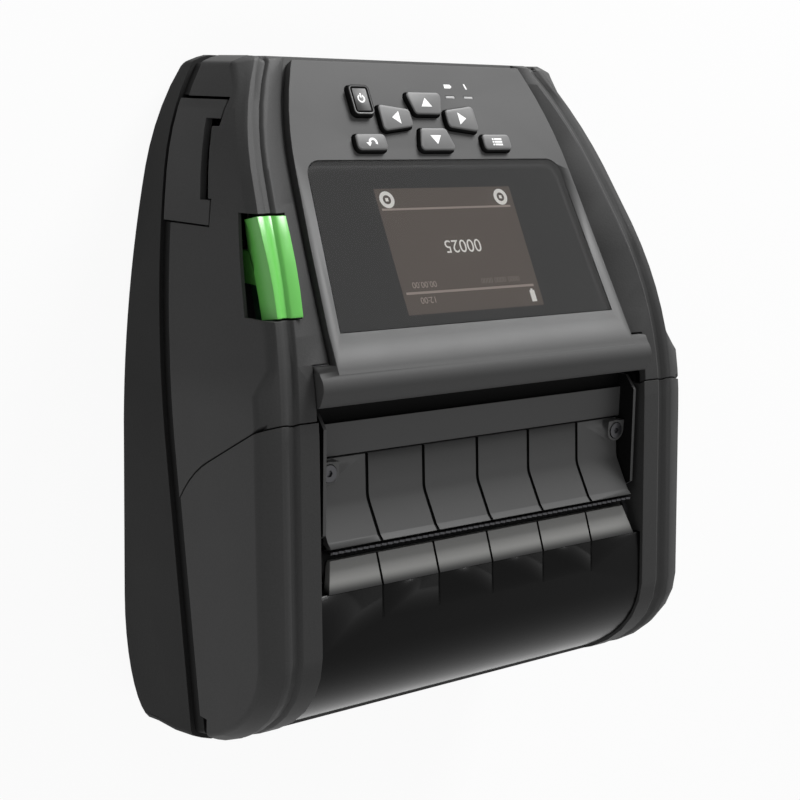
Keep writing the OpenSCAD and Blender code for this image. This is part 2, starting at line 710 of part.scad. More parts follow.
// A gap of the idler faces the platen gear, and a tooth faces the pinion
idler_turn = idler_dir + 180 + 180 / idler_teeth;
module idler_gear() color([0.8, 0.8, 0.75])
    gear(idler_at, idler_teeth, idler_turn, shaft_r + fit);
idler_phase = (pinion_dir - idler_turn) * idler_teeth / 360;
pinion_turn = pinion_dir + 180
    - (0.5 - (idler_phase - floor(idler_phase))) * 360 / pinion_teeth;
module motor_pinion() color([0.72, 0.6, 0.35])
    gear(pinion_at, pinion_teeth, pinion_turn, 1.2);
module idler_stud() color("silver") {
    translate([57, idler_at[0], idler_at[1]]) rotate([0, 90, 0]) {
        cylinder(r = shaft_r, h = 8.6);
        translate([0, 0, 1.8]) cylinder(r = 3.4, h = 2.8);
    }
}
motor_r = 14;
module drive_motor() color([0.5, 0.5, 0.52]) {
    translate([30, pinion_at[0], pinion_at[1]]) rotate([0, 90, 0]) {
        cylinder(r = motor_r, h = 26.8);
        cylinder(r = 3.9, h = 29);
        cylinder(r = 1.2 - fit, h = 35.4);
    }
}
module platen_shaft() color("silver") {
    translate([-62.5, platen_at[0], platen_at[1]]) rotate([0, 90, 0])
        cylinder(r = shaft_r, h = 128);
}
module platen_roller() color([0.12, 0.12, 0.12]) {
    translate([-56, platen_at[0], platen_at[1]]) rotate([0, 90, 0]) difference() {
        cylinder(r = platen_r, h = 112);
        translate([0, 0, -1]) cylinder(r = shaft_r, h = 114);
    }
}
module platen_bearings() color([0.85, 0.85, 0.8]) {
    bearing();
    mirror([1, 0, 0]) bearing();
}
module bearing() {
    translate([57.4, platen_at[0], platen_at[1]]) rotate([0, 90, 0]) difference() {
        union() {
            cylinder(r = 4.6, h = 1.6);
            cylinder(r = 3.6, h = 3.8);
        }
        translate([0, 0, -1]) cylinder(r = shaft_r + fit, h = 8);
    }
}

// --- Chassis -------------------------------------------------------------
plate_x = 57;
module chassis_frame() color([0.23, 0.23, 0.24]) {
    difference() {
        union() {
            for (s = [-1, 1]) along_x(s > 0 ? plate_x : -plate_x - 1.6,
                s > 0 ? plate_x + 1.6 : -plate_x)
                polygon([[18, 22], [18, 60], [4, 64], [-28, 62], [-36, 50], [-36, 40],
                    [-24, 22], [-24, wall + 0.05], [-6, wall + 0.05], [-6, 22]]);
            // bulkhead behind the media bay
            slab(-plate_x - 0.5, 6, wall + 0.05, [2 * plate_x + 1, 2, 56]);
            slab(-plate_x - 0.5, -1.2, 61.4, [2 * plate_x + 1, 7.2, 1.6]);
        }
        for (x = [-70, 50]) translate([x, latch_y, latch_z]) rotate([0, 90, 0])
            cylinder(r = shaft_r + fit, h = 20);
        translate([50, idler_at[0], idler_at[1]]) rotate([0, 90, 0])
            cylinder(r = shaft_r, h = 20);
        translate([50, pinion_at[0], pinion_at[1]]) rotate([0, 90, 0])
            cylinder(r = 4, h = 20);
        slab(-20, 0, 30, [40, 20, 12]);
        // room for the battery latch and its spring
        slab(-latch_w / 2 - 3, 0, 0, [latch_w + 6, 20, 8]);
    }
    // shelf under the release spring
    along_x(-plate_x - 1.6, -plate_x) polygon([[17, 26], [45, 29], [45, 33.8], [17, 33.8]]);
    slab(-67.5, 36, 32, [10, 8, 1.8]);
}

// --- Media cover ---------------------------------------------------------
cheek_x = 59.2;
cheek_t = 1.6;
rim_z = 53;                       // top of the rim bar at the nose
// Nose arc from its top down to height z, in n steps, sunk by d
function nose_arc(z, n, d) = [for (k = [0 : n])
    let (p = nose_pt(90 - (90 - nose_phi(z)) * k / n, d, 1)) [p[0], p[1]]];
// Side view points of the cheek's front edge, sunk by d
function cheek_line(d) = concat(
    [for (y = [1.3, -12, -26, -40]) [y, front_z(y, d)]],
    nose_arc(skin_z + 0.5, 7, d));
module cheek_plate() {
    outer = cheek_line(0.5);
    inner = cheek_line(9);
    difference() {
        union() {
            polygon(concat(outer, [for (i = [len(inner) - 1 : -1 : 0]) inner[i]]));
            // lobe that holds the platen bearing
            translate(platen_at) circle(r = 6.4);
            polygon([platen_at + [-6.4, 0], platen_at + [6.4, 0],
                platen_at + [7, 8], platen_at + [-9, 8]]);
        }
        translate(platen_at) circle(r = 3.6);
    }
}
module cover_frame() color([0.22, 0.22, 0.22]) {
    difference() {
        intersection() {
            form(0, true);
            along_x(-90, 90) cover_side(0);
        }
        form(wall, false);
        below_waist(band_h + 0.7);
        // hinge relief at the nose
        slab(-90, -120, 30, [180, 125 + hinge_y, skin_z - 30]);
        // opening between the cheeks
        slab(-cheek_x, -120, 53, [2 * cheek_x, 140, 60]);
    }
    for (s = [-1, 1]) along_x(s > 0 ? cheek_x : -cheek_x - cheek_t,
        s > 0 ? cheek_x + cheek_t : -cheek_x) cheek_plate();
    // rim bar and hinge arms at the nose
    along_x(-cheek_x - 0.2, cheek_x + 0.2) polygon([
        [hinge_y - 1.6, skin_z], [hinge_y + 0.2, rim_z], [hinge_y + 3.2, rim_z],
        [hinge_y + 3.2, skin_z]]);
    for (s = [-1, 1]) along_x(s > 0 ? 43.8 : -52.2, s > 0 ? 52.2 : -43.8) difference() {
        union() {
            translate([hinge_y, hinge_z]) circle(r = barrel_r);
            polygon([[hinge_y - 1.2, hinge_z], [hinge_y - 1.2, skin_z + 1],
                [hinge_y + 3, skin_z + 1], [hinge_y + 2.9, hinge_z]]);
        }
        translate([hinge_y, hinge_z]) circle(r = hinge_pin_r + fit);
    }
    // keeper pins for the latch
    for (s = [-1, 1]) translate([s > 0 ? cheek_x + 1 : -64.4, -4.6, 66]) rotate([0, 90, 0])
        cylinder(r = 1.6, h = 4.2);
}
window_in = 1;
window_t = 2;
lip_end_y = -43.6;
module cover_window() color([0.11, 0.11, 0.11]) {
    difference() {
        window_bar();
        window_grooves();
    }
}
// Front line and nose arc at depth d, down to the rim bar
function window_line(d) = concat(
    [[lip_end_y, front_z(lip_end_y, d)]],
    nose_arc(rim_z + 1.3, 14, d));
module window_bar() {
    outer = window_line(window_in);
    inner = window_line(window_in + window_t);
    along_x(-cheek_x + 0.15, cheek_x - 0.15)
        polygon(concat(outer, [for (i = [len(inner) - 1 : -1 : 0]) inner[i]]));
}
// Rib grooves that run out on the window
module window_grooves() {
    for (i = [-2 : 2]) along_x(i * rib_pitch - 0.35, i * rib_pitch + 0.35)
        polygon([[lip_end_y + 1, 80], [lip_end_y + 1, front_z(lip_end_y, window_in) - 0.6],
            [lip_end_y - 9, front_z(lip_end_y - 9, window_in)], [lip_end_y - 9, 80]]);
}
lip_tip = [-35.4, 71.4];
module cover_lip() color([0.52, 0.52, 0.52]) {
    difference() {
        union() {
            along_x(-cheek_x + 0.1, cheek_x - 0.1) polygon([lip_tip,
                [lip_end_y + 0.1, front_z(lip_end_y, window_in)],
                [lip_end_y + 0.1, front_z(lip_end_y, 3.4)], [-36.6, 69.9], lip_tip - [0, 1.2]]);
        }
        // slanted ends of the bevel
        for (s = [0, 1]) mirror([s, 0, 0]) translate([0, 0, 60]) linear_extrude(20)
            polygon([[53.9, -34], [53.9, lip_tip[0]], [56.2, lip_end_y], [61, lip_end_y],
                [61, -34]]);
        for (i = [-2 : 2]) along_x(i * rib_pitch - 0.35, i * rib_pitch + 0.35)
            polygon([lip_tip + [1, 3], lip_tip + [1, -1.1], lip_tip + [0, -0.6],
                [lip_end_y, front_z(lip_end_y, window_in) - 0.6], [lip_end_y - 1, 80]]);
    }
}
module hinge_pins() color("silver") {
    for (s = [-1, 1]) translate([s > 0 ? 28.7 : -57.3, hinge_y, hinge_z]) rotate([0, 90, 0])
        cylinder(r = hinge_pin_r, h = 28.6);
}
module hinge_spring() color("silver") {
    for (x = [-38.2, 29.4]) translate([x, hinge_y, hinge_z]) rotate([0, 90, 0])
        coil(2.1, 8.8, 10);
}

// --- Media guides --------------------------------------------------------
flange_r = roll_r - 9;            // disc that centres the roll
roll_at = [nose_y, roll_r + 11.6];
rail_y = nose_y + 8;
rack_m = 1;
rack_z = wall + 0.3;
guide_x = media_w / 2 + 0.4;
rack_len = 62;
guide_pinion_teeth = 12;
// Toothed bar from x0 to x1, teeth towards +Y, pitch line at y = 0
module rack_2d(x0, x1) {
    p = PI * rack_m;
    translate([x0, -2.9 * rack_m]) square([x1 - x0, 1.6 * rack_m]);
    for (i = [ceil(x0 / p + 0.3) : floor(x1 / p - 0.3)]) translate([i * p, 0])
        polygon([[-0.32 * p, -1.35 * rack_m], [0.32 * p, -1.35 * rack_m],
            [0.11 * p, 0.85 * rack_m], [-0.11 * p, 0.85 * rack_m]]);
}
module rack(flip) {
    translate([0, rail_y, rack_z]) rotate([0, 0, flip]) linear_extrude(2)
        translate([0, -guide_pinion_teeth * rack_m / 2]) rack_2d(-guide_x, rack_len - guide_x);
}
module guide(s) {
    // disc and hub that carry the roll
    along_x(s > 0 ? guide_x : -guide_x - 1.6, s > 0 ? guide_x + 1.6 : -guide_x)
        difference() {
            union() {
                translate(roll_at) circle(r = flange_r);
                polygon([[rail_y - 3.6, rack_z], [rail_y - 9, 24], [rail_y + 6, 28],
                    [rail_y + 3.6, rack_z]]);
            }
            translate(roll_at) circle(r = 6);
        }
    along_x(s > 0 ? guide_x - 6 : -guide_x, s > 0 ? guide_x : -guide_x + 6)
        translate(roll_at) difference() {
            circle(r = 12);
            circle(r = 6);
        }
}
module guide_foot(s) {
    slab(s > 0 ? guide_x : -guide_x - 1.6, s > 0 ? rail_y - 3 : rail_y - 8.8, rack_z,
        [1.6, 11.8, 2]);
}
module guide_left() color([0.35, 0.35, 0.36]) {
    guide(-1);
    guide_foot(-1);
    rack(0);
}
module guide_right() color([0.35, 0.35, 0.36]) {
    guide(1);
    guide_foot(1);
    rack(180);
}
module guide_pinion() color([0.8, 0.8, 0.75]) {
    translate([0, rail_y, rack_z]) linear_extrude(2.2)
        gear_2d(rack_m, guide_pinion_teeth, 180 / guide_pinion_teeth, 2 + fit);
}
module media_sensor() color([0.1, 0.1, 0.1]) {
    slab(-4, -30, wall + 0.05, [8, 6, 3]);
}

// --- Battery -------------------------------------------------------------
module battery_pack() color([0.15, 0.15, 0.15]) {
    difference() {
        slab(-pack_w / 2, pack_y0, 0.25, [pack_w, pack_y1 - pack_y0, pack_h]);
        slab(-6, pack_y0 - 1, 2.6, [12, 4, 2]);
        for (i = [0 : 4]) slab(-20, pack_y1 - 8 - i * 2.4, 0, [40, 1.2, 0.6]);
    }
}
module battery_contacts() color([0.75, 0.62, 0.3]) {
    for (i = [0 : 4]) slab(14 + i * 3.2, 50, pack_h + 0.3, [1.6, 5, 3.3]);
}
module battery_latch() color([0.15, 0.15, 0.15]) {
    slab(-latch_w / 2, pack_y0 - 6.4, 0.25, [latch_w, 5.7, 2]);
    slab(-5.4, pack_y0 - 4, 2.8, [10.8, 6, 1.4]);
    slab(-5.4, pack_y0 - 4, 2.2, [10.8, 3, 0.7]);
    for (i = [0 : 2]) slab(-7, pack_y0 - 5.4 + i * 1.4, 0.05, [14, 0.6, 0.3]);
}
module latch_spring() color("silver") {
    translate([0, pack_y0 - 9.2, 3.4]) rotate([-90, 0, 0]) coil(0.9, 5, 6);
}
module housing_screws() color([0.3, 0.3, 0.3]) {
    for (p = screw_xy, s = [-1, 1]) translate([s * p[0], p[1], 0]) {
        difference() {
            translate([0, 0, 0.1]) cylinder(r = 2.8, h = 1);
            translate([0, 0, -0.5]) cylinder(r = 1.2, h = 1.1, $fn = 6);
        }
        translate([0, 0, 1]) cylinder(r = screw_r, h = 7);
    }
}

back_shell();
seam_band();
upper_housing();
display_panel();
display_lens();
lcd_module();
display_board();
keypad_mat();
status_lights();
key_power();
key_up();
key_down();
key_left();
key_right();
key_back();
key_menu();
release_button();
release_spring();
interface_flap();
interface_ports();
main_board();
exit_bridge();
deflector_plate();
tear_bar();
deflector_screws();
printhead();
printhead_springs();
chassis_frame();
drive_motor();
motor_pinion();
idler_gear();
idler_stud();
platen_shaft();
platen_roller();
platen_bearings();
platen_gear();
cover_frame();
cover_window();
cover_lip();
hinge_pins();
hinge_spring();
latch_arms();
latch_shaft();
guide_left();
guide_right();
guide_pinion();
battery_pack();
battery_contacts();
battery_latch();
latch_spring();
media_sensor();
housing_screws();
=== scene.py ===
# %% [markdown]
# # Dressing a portable four-inch label printer
# The printer lies on its flat back with its display side up. Its parts, joints and sizes come ready
# made from a CAD frame; this lesson gives them their finish. We read every position from the frame,
# so nothing has to be fitted by eye, and a piece that moves keeps the joint that the frame gives
# it.

# %% Load the frame
import json
import math

import bmesh
import bpy
from mathutils import Matrix, Vector
from mathutils.bvhtree import BVHTree

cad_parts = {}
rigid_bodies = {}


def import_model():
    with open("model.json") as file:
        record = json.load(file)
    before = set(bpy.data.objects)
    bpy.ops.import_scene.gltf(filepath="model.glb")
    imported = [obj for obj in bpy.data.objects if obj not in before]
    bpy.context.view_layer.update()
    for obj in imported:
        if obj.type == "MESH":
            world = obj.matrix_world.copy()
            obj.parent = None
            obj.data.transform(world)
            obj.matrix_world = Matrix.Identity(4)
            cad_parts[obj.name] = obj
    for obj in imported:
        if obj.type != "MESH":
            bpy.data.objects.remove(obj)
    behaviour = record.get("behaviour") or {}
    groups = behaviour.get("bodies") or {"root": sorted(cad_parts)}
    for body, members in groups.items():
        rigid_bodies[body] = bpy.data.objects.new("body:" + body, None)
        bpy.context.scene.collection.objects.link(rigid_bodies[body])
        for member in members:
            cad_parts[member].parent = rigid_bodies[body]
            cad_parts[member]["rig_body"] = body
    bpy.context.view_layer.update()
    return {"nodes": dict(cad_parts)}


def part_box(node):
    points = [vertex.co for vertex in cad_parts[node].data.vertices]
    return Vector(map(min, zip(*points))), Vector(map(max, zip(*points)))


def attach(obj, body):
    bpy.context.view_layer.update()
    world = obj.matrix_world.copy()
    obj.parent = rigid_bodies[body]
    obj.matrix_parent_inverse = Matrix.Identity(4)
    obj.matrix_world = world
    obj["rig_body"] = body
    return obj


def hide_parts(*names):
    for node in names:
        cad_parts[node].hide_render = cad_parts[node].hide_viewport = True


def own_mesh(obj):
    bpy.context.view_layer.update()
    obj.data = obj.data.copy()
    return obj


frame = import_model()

MM = 0.001

# %% [markdown]
# ## Where the camera stands
# The printer is seen from the side of its release button, a little above the middle, with a long
# lens that keeps the perspective calm. Three unit vectors turn the camera: its right, its up, and
# the way back from what it looks at. They are rows of one rotation, so we set them as a matrix.

# %% Camera
right = Vector((0.790379, 0.027530, 0.612000))
up = Vector((0.096224, 0.981011, -0.168399))
back = right.cross(up)
camera_spot = (-0.289026, 0.086888, 0.399391)
sensor_mm, lens_mm = 36, 72.27

lens_data = bpy.data.cameras.new("product_camera")
lens_data.sensor_width = sensor_mm
lens_data.lens = lens_mm
camera = bpy.data.objects.new("product_camera", lens_data)
camera.matrix_world = Matrix.Translation(camera_spot) @ Matrix(
    (right, up, back)).transposed().to_4x4()
bpy.context.scene.collection.objects.link(camera)
bpy.context.scene.camera = camera
print("camera at", camera_spot, "with a lens of", lens_mm, "mm")

# %% [markdown]
# ## Colours and nodes
# A colour on a chart is an sRGB number, but a shader works in linear light, so one function turns
# the one into the other. A second small function adds a node with its settings and its links, which
# keeps each material's recipe readable: every line is one node. A third starts an empty material.

# %% Helpers for materials
def linear(code):
    """Linear RGBA of an sRGB hex code."""
    parts = [int(code[i:i + 2], 16) / 255 for i in (1, 3, 5)]
    return [c / 12.92 if c <= 0.04045 else ((c + 0.055) / 1.055) ** 2.4 for c in parts] + [1]


def add(tree, kind, inputs={}, **settings):
    """A new shader node; a socket given as an input is linked, any other value is set."""
    node = tree.nodes.new("ShaderNode" + kind)
    for name, value in settings.items():
        setattr(node, name, value)
    for name, value in inputs.items():
        if isinstance(value, bpy.types.NodeSocket):
            tree.links.new(value, node.inputs[name])
        else:
            node.inputs[name].default_value = value
    return node


def start_material(name):
    """An empty node tree with its output, under the finish's name."""
    material = bpy.data.materials.new(name)
    material.use_nodes = True
    material.node_tree.nodes.clear()
    return material, material.node_tree, add(material.node_tree, "OutputMaterial")


print("sRGB #808080 is", round(linear("#808080")[0], 4), "in linear light")

# %% [markdown]
# ## Moulded plastic
# Most of the printer is injection-moulded PC/ABS. The mould's surface decides the look: spark
# erosion leaves a fine leather-like grain that scatters light, a polished mould leaves a gloss. The
# grain is a bump from noise, its scale worked out from the pitch in millimetres. Real erosion grain
# is about 0.1 mm, too fine to show at this distance, so it is drawn at 0.4 to 0.6 mm. A second,
# wide noise shifts the roughness a little, as handling does, and a rounded-edge normal gives each
# moulded edge the small radius that every mould has.

# %% Recipe for a moulded part
wear_patch, wear = 30, 0.06   # mm across, and how far wear moves the roughness
edge_samples = 4


def moulded(name, colour, roughness, grain=0.5, depth=0.02, ior=1.53, edge=0.25, tint=0.12,
            shine=0.3):
    """Moulded plastic: sRGB colour, roughness, grain pitch and depth in mm, edge radius in mm."""
    material, tree, out = start_material(name)
    where = add(tree, "TexCoord").outputs["Object"]
    grains = add(tree, "TexNoise", {"Vector": where, "Scale": 1 / (grain * MM), "Detail": 2.0,
                                    "Roughness": 0.55}).outputs["Fac"]
    wide = add(tree, "TexNoise", {"Vector": where, "Scale": 1 / (wear_patch * MM), "Detail": 3.0}
               ).outputs["Fac"]
    gloss = add(tree, "MapRange", {"Value": wide, "To Min": roughness - wear,
                                   "To Max": roughness + wear}).outputs["Result"]
    base = linear(colour)
    dark = [c * (1 - tint) for c in base[:3]] + [1]
    pale = [min(1, c * (1 + tint)) for c in base[:3]] + [1]
    # a colour mix has sockets of its own: 6 and 7 are its colours
    shade = add(tree, "Mix", {0: grains, 6: dark, 7: pale}, data_type="RGBA")
    rounded = add(tree, "Bevel", {"Radius": edge * MM}, samples=edge_samples).outputs["Normal"]
    bump = add(tree, "Bump", {"Height": grains, "Strength": 0.6, "Distance": depth * MM,
                              "Normal": rounded}).outputs["Normal"]
    shader = add(tree, "BsdfPrincipled", {
        "Base Color": shade.outputs[2], "Roughness": gloss, "IOR": ior, "Normal": bump,
        "Specular IOR Level": shine})
    tree.links.new(shader.outputs[0], out.inputs[0])
    return material


eroded_abs = moulded("spark_eroded_pc_abs", "#383838", 0.56, grain=0.6, depth=0.05, shine=0.12)
shell_abs = moulded("spark_eroded_pc_abs_back", "#262626", 0.58, grain=0.6, depth=0.05,
                    shine=0.06)
# a touch lighter than the housing's plastic, which the real cover shares: painted light that lifts
# the cover's level cheeks
cover_abs = moulded("spark_eroded_pc_abs_cover", "#3c3c3c", 0.56, grain=0.6, depth=0.05,
                    shine=0.1)
panel_abs = moulded("satin_moulded_pc_abs", "#424242", 0.58, grain=0.35, depth=0.008, tint=0.03,
                    shine=0.2)
deflector_abs = moulded("satin_moulded_black_abs", "#464646", 0.42, grain=0.35, depth=0.006,
                        tint=0.03, shine=0.3)
bridge_abs = moulded("moulded_black_abs", "#3c3c3c", 0.5, grain=0.4, depth=0.01, tint=0.04)
# painted shade: a near-black finish for grooves, gaps and recesses that lie in shadow
painted_shade_abs = moulded("black_painted_shade_abs", "#0d0d0d", 0.6, grain=0.4, depth=0.01,
                     shine=0.05)
inner_abs = moulded("glass_filled_nylon_chassis", "#222224", 0.5, grain=0.5, depth=0.02)
battery_abs = moulded("moulded_battery_abs", "#2b2b2b", 0.5, grain=0.5, depth=0.03)
guide_abs = moulded("moulded_grey_guide_abs", "#5a5a5c", 0.45, grain=0.5, depth=0.02)
print("moulded plastics:", len(bpy.data.materials))

# %% [markdown]
# ## Rubber, gloss and glass
# The seam band and the roller are elastomer: matt, with a soft sheen at grazing angles. The keys
# are silicone with a painted top, soft to the light. The lens over the screen is hard-coated acrylic,
# and the media window is a dark polycarbonate; both are smooth as glass, so they take no grain,
# only a very faint waviness that breaks up a reflection the way a real moulding does.

# %% Elastomers and key tops
band_tpe = moulded("moulded_tpe_band", "#101010", 0.62, grain=0.5, depth=0.02, ior=1.5,
                   shine=0.1)
roller_rubber = moulded("ground_silicone_roller", "#232323", 0.7, grain=0.3, depth=0.03, ior=1.43)
key_paint = moulded("grey_paint_on_silicone_key", "#606060", 0.5, grain=0.3, depth=0.006,
                    ior=1.43, edge=0.1, tint=0.03)
key_rubber = moulded("black_silicone_key", "#121212", 0.6, grain=0.3, depth=0.01, ior=1.43,
                     shine=0.15)
mat_rubber = moulded("silicone_key_mat", "#3a3a3a", 0.6, grain=0.4, depth=0.01, ior=1.43)
print("with rubber and paint:", len(bpy.data.materials))


# %% Recipe for a polished surface
swell_length, swell_share = 12, 0.15   # mm, and how far a swell moves the roughness, as a share


def polished(name, colour, roughness, ior, wave=0.003, shine=0.4, edge=0.25, glow=0.0):
    """A smooth surface: its only relief is a long waviness, wave mm deep."""
    material, tree, out = start_material(name)
    where = add(tree, "TexCoord").outputs["Object"]
    swell = add(tree, "TexNoise", {"Vector": where, "Scale": 1 / (swell_length * MM),
                                   "Detail": 1.0}).outputs["Fac"]
    gloss = add(tree, "MapRange", {"Value": swell, "To Min": roughness * (1 - swell_share),
                                   "To Max": roughness * (1 + swell_share)}).outputs["Result"]
    rounded = add(tree, "Bevel", {"Radius": edge * MM}, samples=edge_samples).outputs["Normal"]
    bump = add(tree, "Bump", {"Height": swell, "Strength": 0.5, "Distance": wave * MM,
                              "Normal": rounded}).outputs["Normal"]
    shader = add(tree, "BsdfPrincipled", {
        "Base Color": linear(colour), "Roughness": gloss, "IOR": ior, "Normal": bump,
        "Specular IOR Level": shine, "Emission Color": linear(colour),
        "Emission Strength": glow})
    tree.links.new(shader.outputs[0], out.inputs[0])
    return material


window_pc = polished("smoked_polycarbonate_window", "#0b0b0b", 0.22, 1.4, wave=0.01, shine=0.12)
green_pc = polished("moulded_green_polycarbonate", "#5fb04f", 0.34, 1.5, wave=0.006)
mask_ink = polished("dark_grey_ink_behind_the_lens", "#353535", 0.5, 1.5, wave=0.0005, edge=0)
screen_glass = polished("tft_screen_glass", "#4a413b", 0.3, 1.49, glow=0.9)
white_print = polished("white_screen_print", "#e8e8e8", 0.5, 1.5, wave=0.0005, edge=0)
led_lens = polished("diffusing_light_pipe", "#9a9a9a", 0.35, 1.49)
screen_white, screen_grey, screen_dim = [
    polished(name, colour, 0.5, 1.5, wave=0.0005, edge=0, glow=0.6) for name, colour in (
        ("lit_white_screen_dots", "#f0eeea"), ("lit_grey_screen_dots", "#9c8f88"),
        ("dim_grey_screen_dots", "#746a64"))]
print("finishes so far:", len(bpy.data.materials))

# %% [markdown]
# ## A clear lens, and a lip with painted shade
# The lens is clear acrylic: what lies behind it shows through, and a share of the light that
# Fresnel's law gives is mirrored. A plain mix of a transparent and a glossy shader does that, and
# lets the lamps reach the screen. The faces that are bonded to the screen mirror nothing, so they
# are only clear: seen from inside, Fresnel's law would mirror nearly all. The paper lip is a pale
# moulding that turns under the dark window. Its lower edge is painted with shade: over a few
# millimetres its colour darkens to near black, the way a rounded edge turning from the light would
# look, so the colour changes along the body.

# %% Clear lens
lens_pmma, tree, out = start_material("hard_coated_acrylic_lens")
mirrored = add(tree, "Fresnel", {"IOR": 1.45})
through = add(tree, "BsdfTransparent", {"Color": linear("#e4e4e4")})
shine = add(tree, "BsdfAnisotropic", {"Color": linear("#ffffff"), "Roughness": 0.04})
lens_mix = add(tree, "MixShader", {0: mirrored.outputs[0], 1: through.outputs[0],
                                   2: shine.outputs[0]})
tree.links.new(lens_mix.outputs[0], out.inputs[0])

lens_back, tree, out = start_material("acrylic_lens_bonded_back")
clear_back = add(tree, "BsdfTransparent", {"Color": linear("#fcfcfc")})
tree.links.new(clear_back.outputs[0], out.inputs[0])
print("lens finishes:", lens_pmma.name, lens_back.name)

# %% Lip with painted shade at its lower edge
# painted shade: the lip's colour darkens to near black over its lowest few millimetres, as a rounded
# edge turning from the light would look
lip_low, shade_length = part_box("cover_lip")[0][1], 3.2 * MM
lip_abs = moulded("satin_moulded_grey_lip", "#828280", 0.34, grain=0.35, depth=0.004, tint=0.02)
tree = lip_abs.node_tree
where = add(tree, "TexCoord").outputs["Object"]
along = add(tree, "SeparateXYZ", {0: where}).outputs[1]
lip_painted_shade = add(tree, "MapRange", {0: along, 1: lip_low, 2: lip_low + shade_length},
           interpolation_type="SMOOTHSTEP").outputs[0]
shader = next(n for n in tree.nodes if n.type == "BSDF_PRINCIPLED")
plain = shader.inputs["Base Color"].links[0].from_socket
lip_shaded_colour = add(tree, "Mix", {0: lip_painted_shade, 6: linear("#191919"), 7: plain}, data_type="RGBA")
tree.links.new(lip_shaded_colour.outputs[2], shader.inputs["Base Color"])
print("lip fades from y", round(lip_low / MM, 1), "mm")

# %% [markdown]
# ## Metals, board and gears
# Turned steel shafts carry fine rings from the tool, drawn here as a wave along the shaft at
# 0.25 mm. The tear bar is stamped and brushed along its length. Gears are acetal, a waxy plastic
# with a little light under its skin; the motor's pinion is brass. A circuit board is glass epoxy
# under green lacquer.

# %% Recipe for a metal
wave_pitch = 0.314   # pitch of a wave texture at a scale of 1
tool_depth = 0.004   # mm


def metal(name, colour, roughness, line=0.25, along="X"):
    """A worked metal, with tool lines of a pitch in mm that follow one axis."""
    material, tree, out = start_material(name)
    where = add(tree, "TexCoord").outputs["Object"]
    lines = add(tree, "TexWave", {"Vector": where, "Scale": wave_pitch / (line * MM),
                                  "Distortion": 1.5, "Detail": 2.0},
                bands_direction=along).outputs["Fac"]
    gloss = add(tree, "MapRange", {"Value": lines, "To Min": roughness - 0.05,
                                   "To Max": roughness + 0.06}).outputs["Result"]
    bump = add(tree, "Bump", {"Height": lines, "Strength": 0.4, "Distance": tool_depth * MM}
               ).outputs["Normal"]
    shader = add(tree, "BsdfPrincipled", {
        "Base Color": linear(colour), "Metallic": 1.0, "Roughness": gloss, "Normal": bump})
    tree.links.new(shader.outputs[0], out.inputs[0])
    return material


turned_steel = metal("turned_steel", "#a8a8aa", 0.28)
brushed_steel = metal("brushed_stainless_tear_bar", "#3c3c3e", 0.42, line=0.3, along="Z")
spring_steel = metal("drawn_spring_steel", "#8f9092", 0.3)
nickel_can = metal("nickel_plated_shell", "#9a9a9c", 0.32, line=0.5, along="Y")
brass = metal("hobbed_brass", "#b08a45", 0.3)
gold = metal("gold_plated_contact", "#c79a45", 0.25, along="Y")
head_alloy = metal("extruded_aluminium_carrier", "#a5a49c", 0.38, line=0.4, along="Z")
black_screw = metal("black_oxide_steel_screw", "#4a4a4c", 0.35, line=0.2, along="Z")
acetal = moulded("hobbed_acetal_gear", "#cfcdc2", 0.35, grain=0.4, depth=0.004, ior=1.48,
                 tint=0.02)
board = moulded("lacquered_glass_epoxy_board", "#1d5a37", 0.35, grain=0.8, depth=0.01, ior=1.55)
print("materials:", len(bpy.data.materials))

# %% [markdown]
# ## Giving each CAD piece its finish
# The pieces that need no change of form keep their own mesh; their material slots simply get the
# new finish. A table from finish to pieces is the shortest way to say it.

# %% Materials on the CAD pieces
finishes = {
    eroded_abs: ["upper_housing", "interface_flap"],
    shell_abs: ["back_shell"],
    cover_abs: ["cover_frame"],
    band_tpe: ["seam_band"],
    panel_abs: ["display_panel"],
    lens_pmma: ["display_lens"],
    screen_glass: ["lcd_module"],
    board: ["display_board", "main_board"],
    mat_rubber: ["keypad_mat"],
    led_lens: ["status_lights"],
    key_rubber: ["key_power", "key_up", "key_down", "key_left", "key_right", "key_back",
                 "key_menu"],
    green_pc: ["release_button"],
    spring_steel: ["release_spring", "printhead_springs", "hinge_spring", "latch_spring"],
    nickel_can: ["interface_ports", "drive_motor"],
    bridge_abs: ["exit_bridge"],
    deflector_abs: ["deflector_plate"],
    brushed_steel: ["tear_bar"],
    black_screw: ["deflector_screws", "housing_screws"],
    head_alloy: ["printhead"],
    inner_abs: ["chassis_frame", "latch_arms", "media_sensor", "platen_bearings"],
    brass: ["motor_pinion"],
    acetal: ["idler_gear", "platen_gear", "guide_pinion"],
    turned_steel: ["idler_stud", "platen_shaft", "latch_shaft", "hinge_pins"],
    roller_rubber: ["platen_roller"],
    window_pc: ["cover_window"],
    lip_abs: ["cover_lip"],
    guide_abs: ["guide_left", "guide_right"],
    battery_abs: ["battery_pack", "battery_latch"],
    gold: ["battery_contacts"],
}
finish_of = {node: material for material, nodes in finishes.items() for node in nodes}
for name, piece in frame["nodes"].items():
    piece.data.materials.clear()
    piece.data.materials.append(finish_of[name])
print("finished CAD pieces:", len(finish_of), "of", len(frame["nodes"]))

# %% [markdown]
# ## Smooth skins
# The mouldings arrive as loose triangles, so every facet would show. A copy of each is merged
# where its corners meet, flat neighbours are dissolved into one face, and the copy is shaded
# smooth with its real edges kept sharp. A weighted-normal modifier lets the large faces set the
# shading, so that narrow strips beside them draw no smears. The copy then stands for the CAD piece,
# and rides on the same body.

# %% Copies with smooth skins
weld, flat_within = 0.004 * MM, math.radians(0.6)


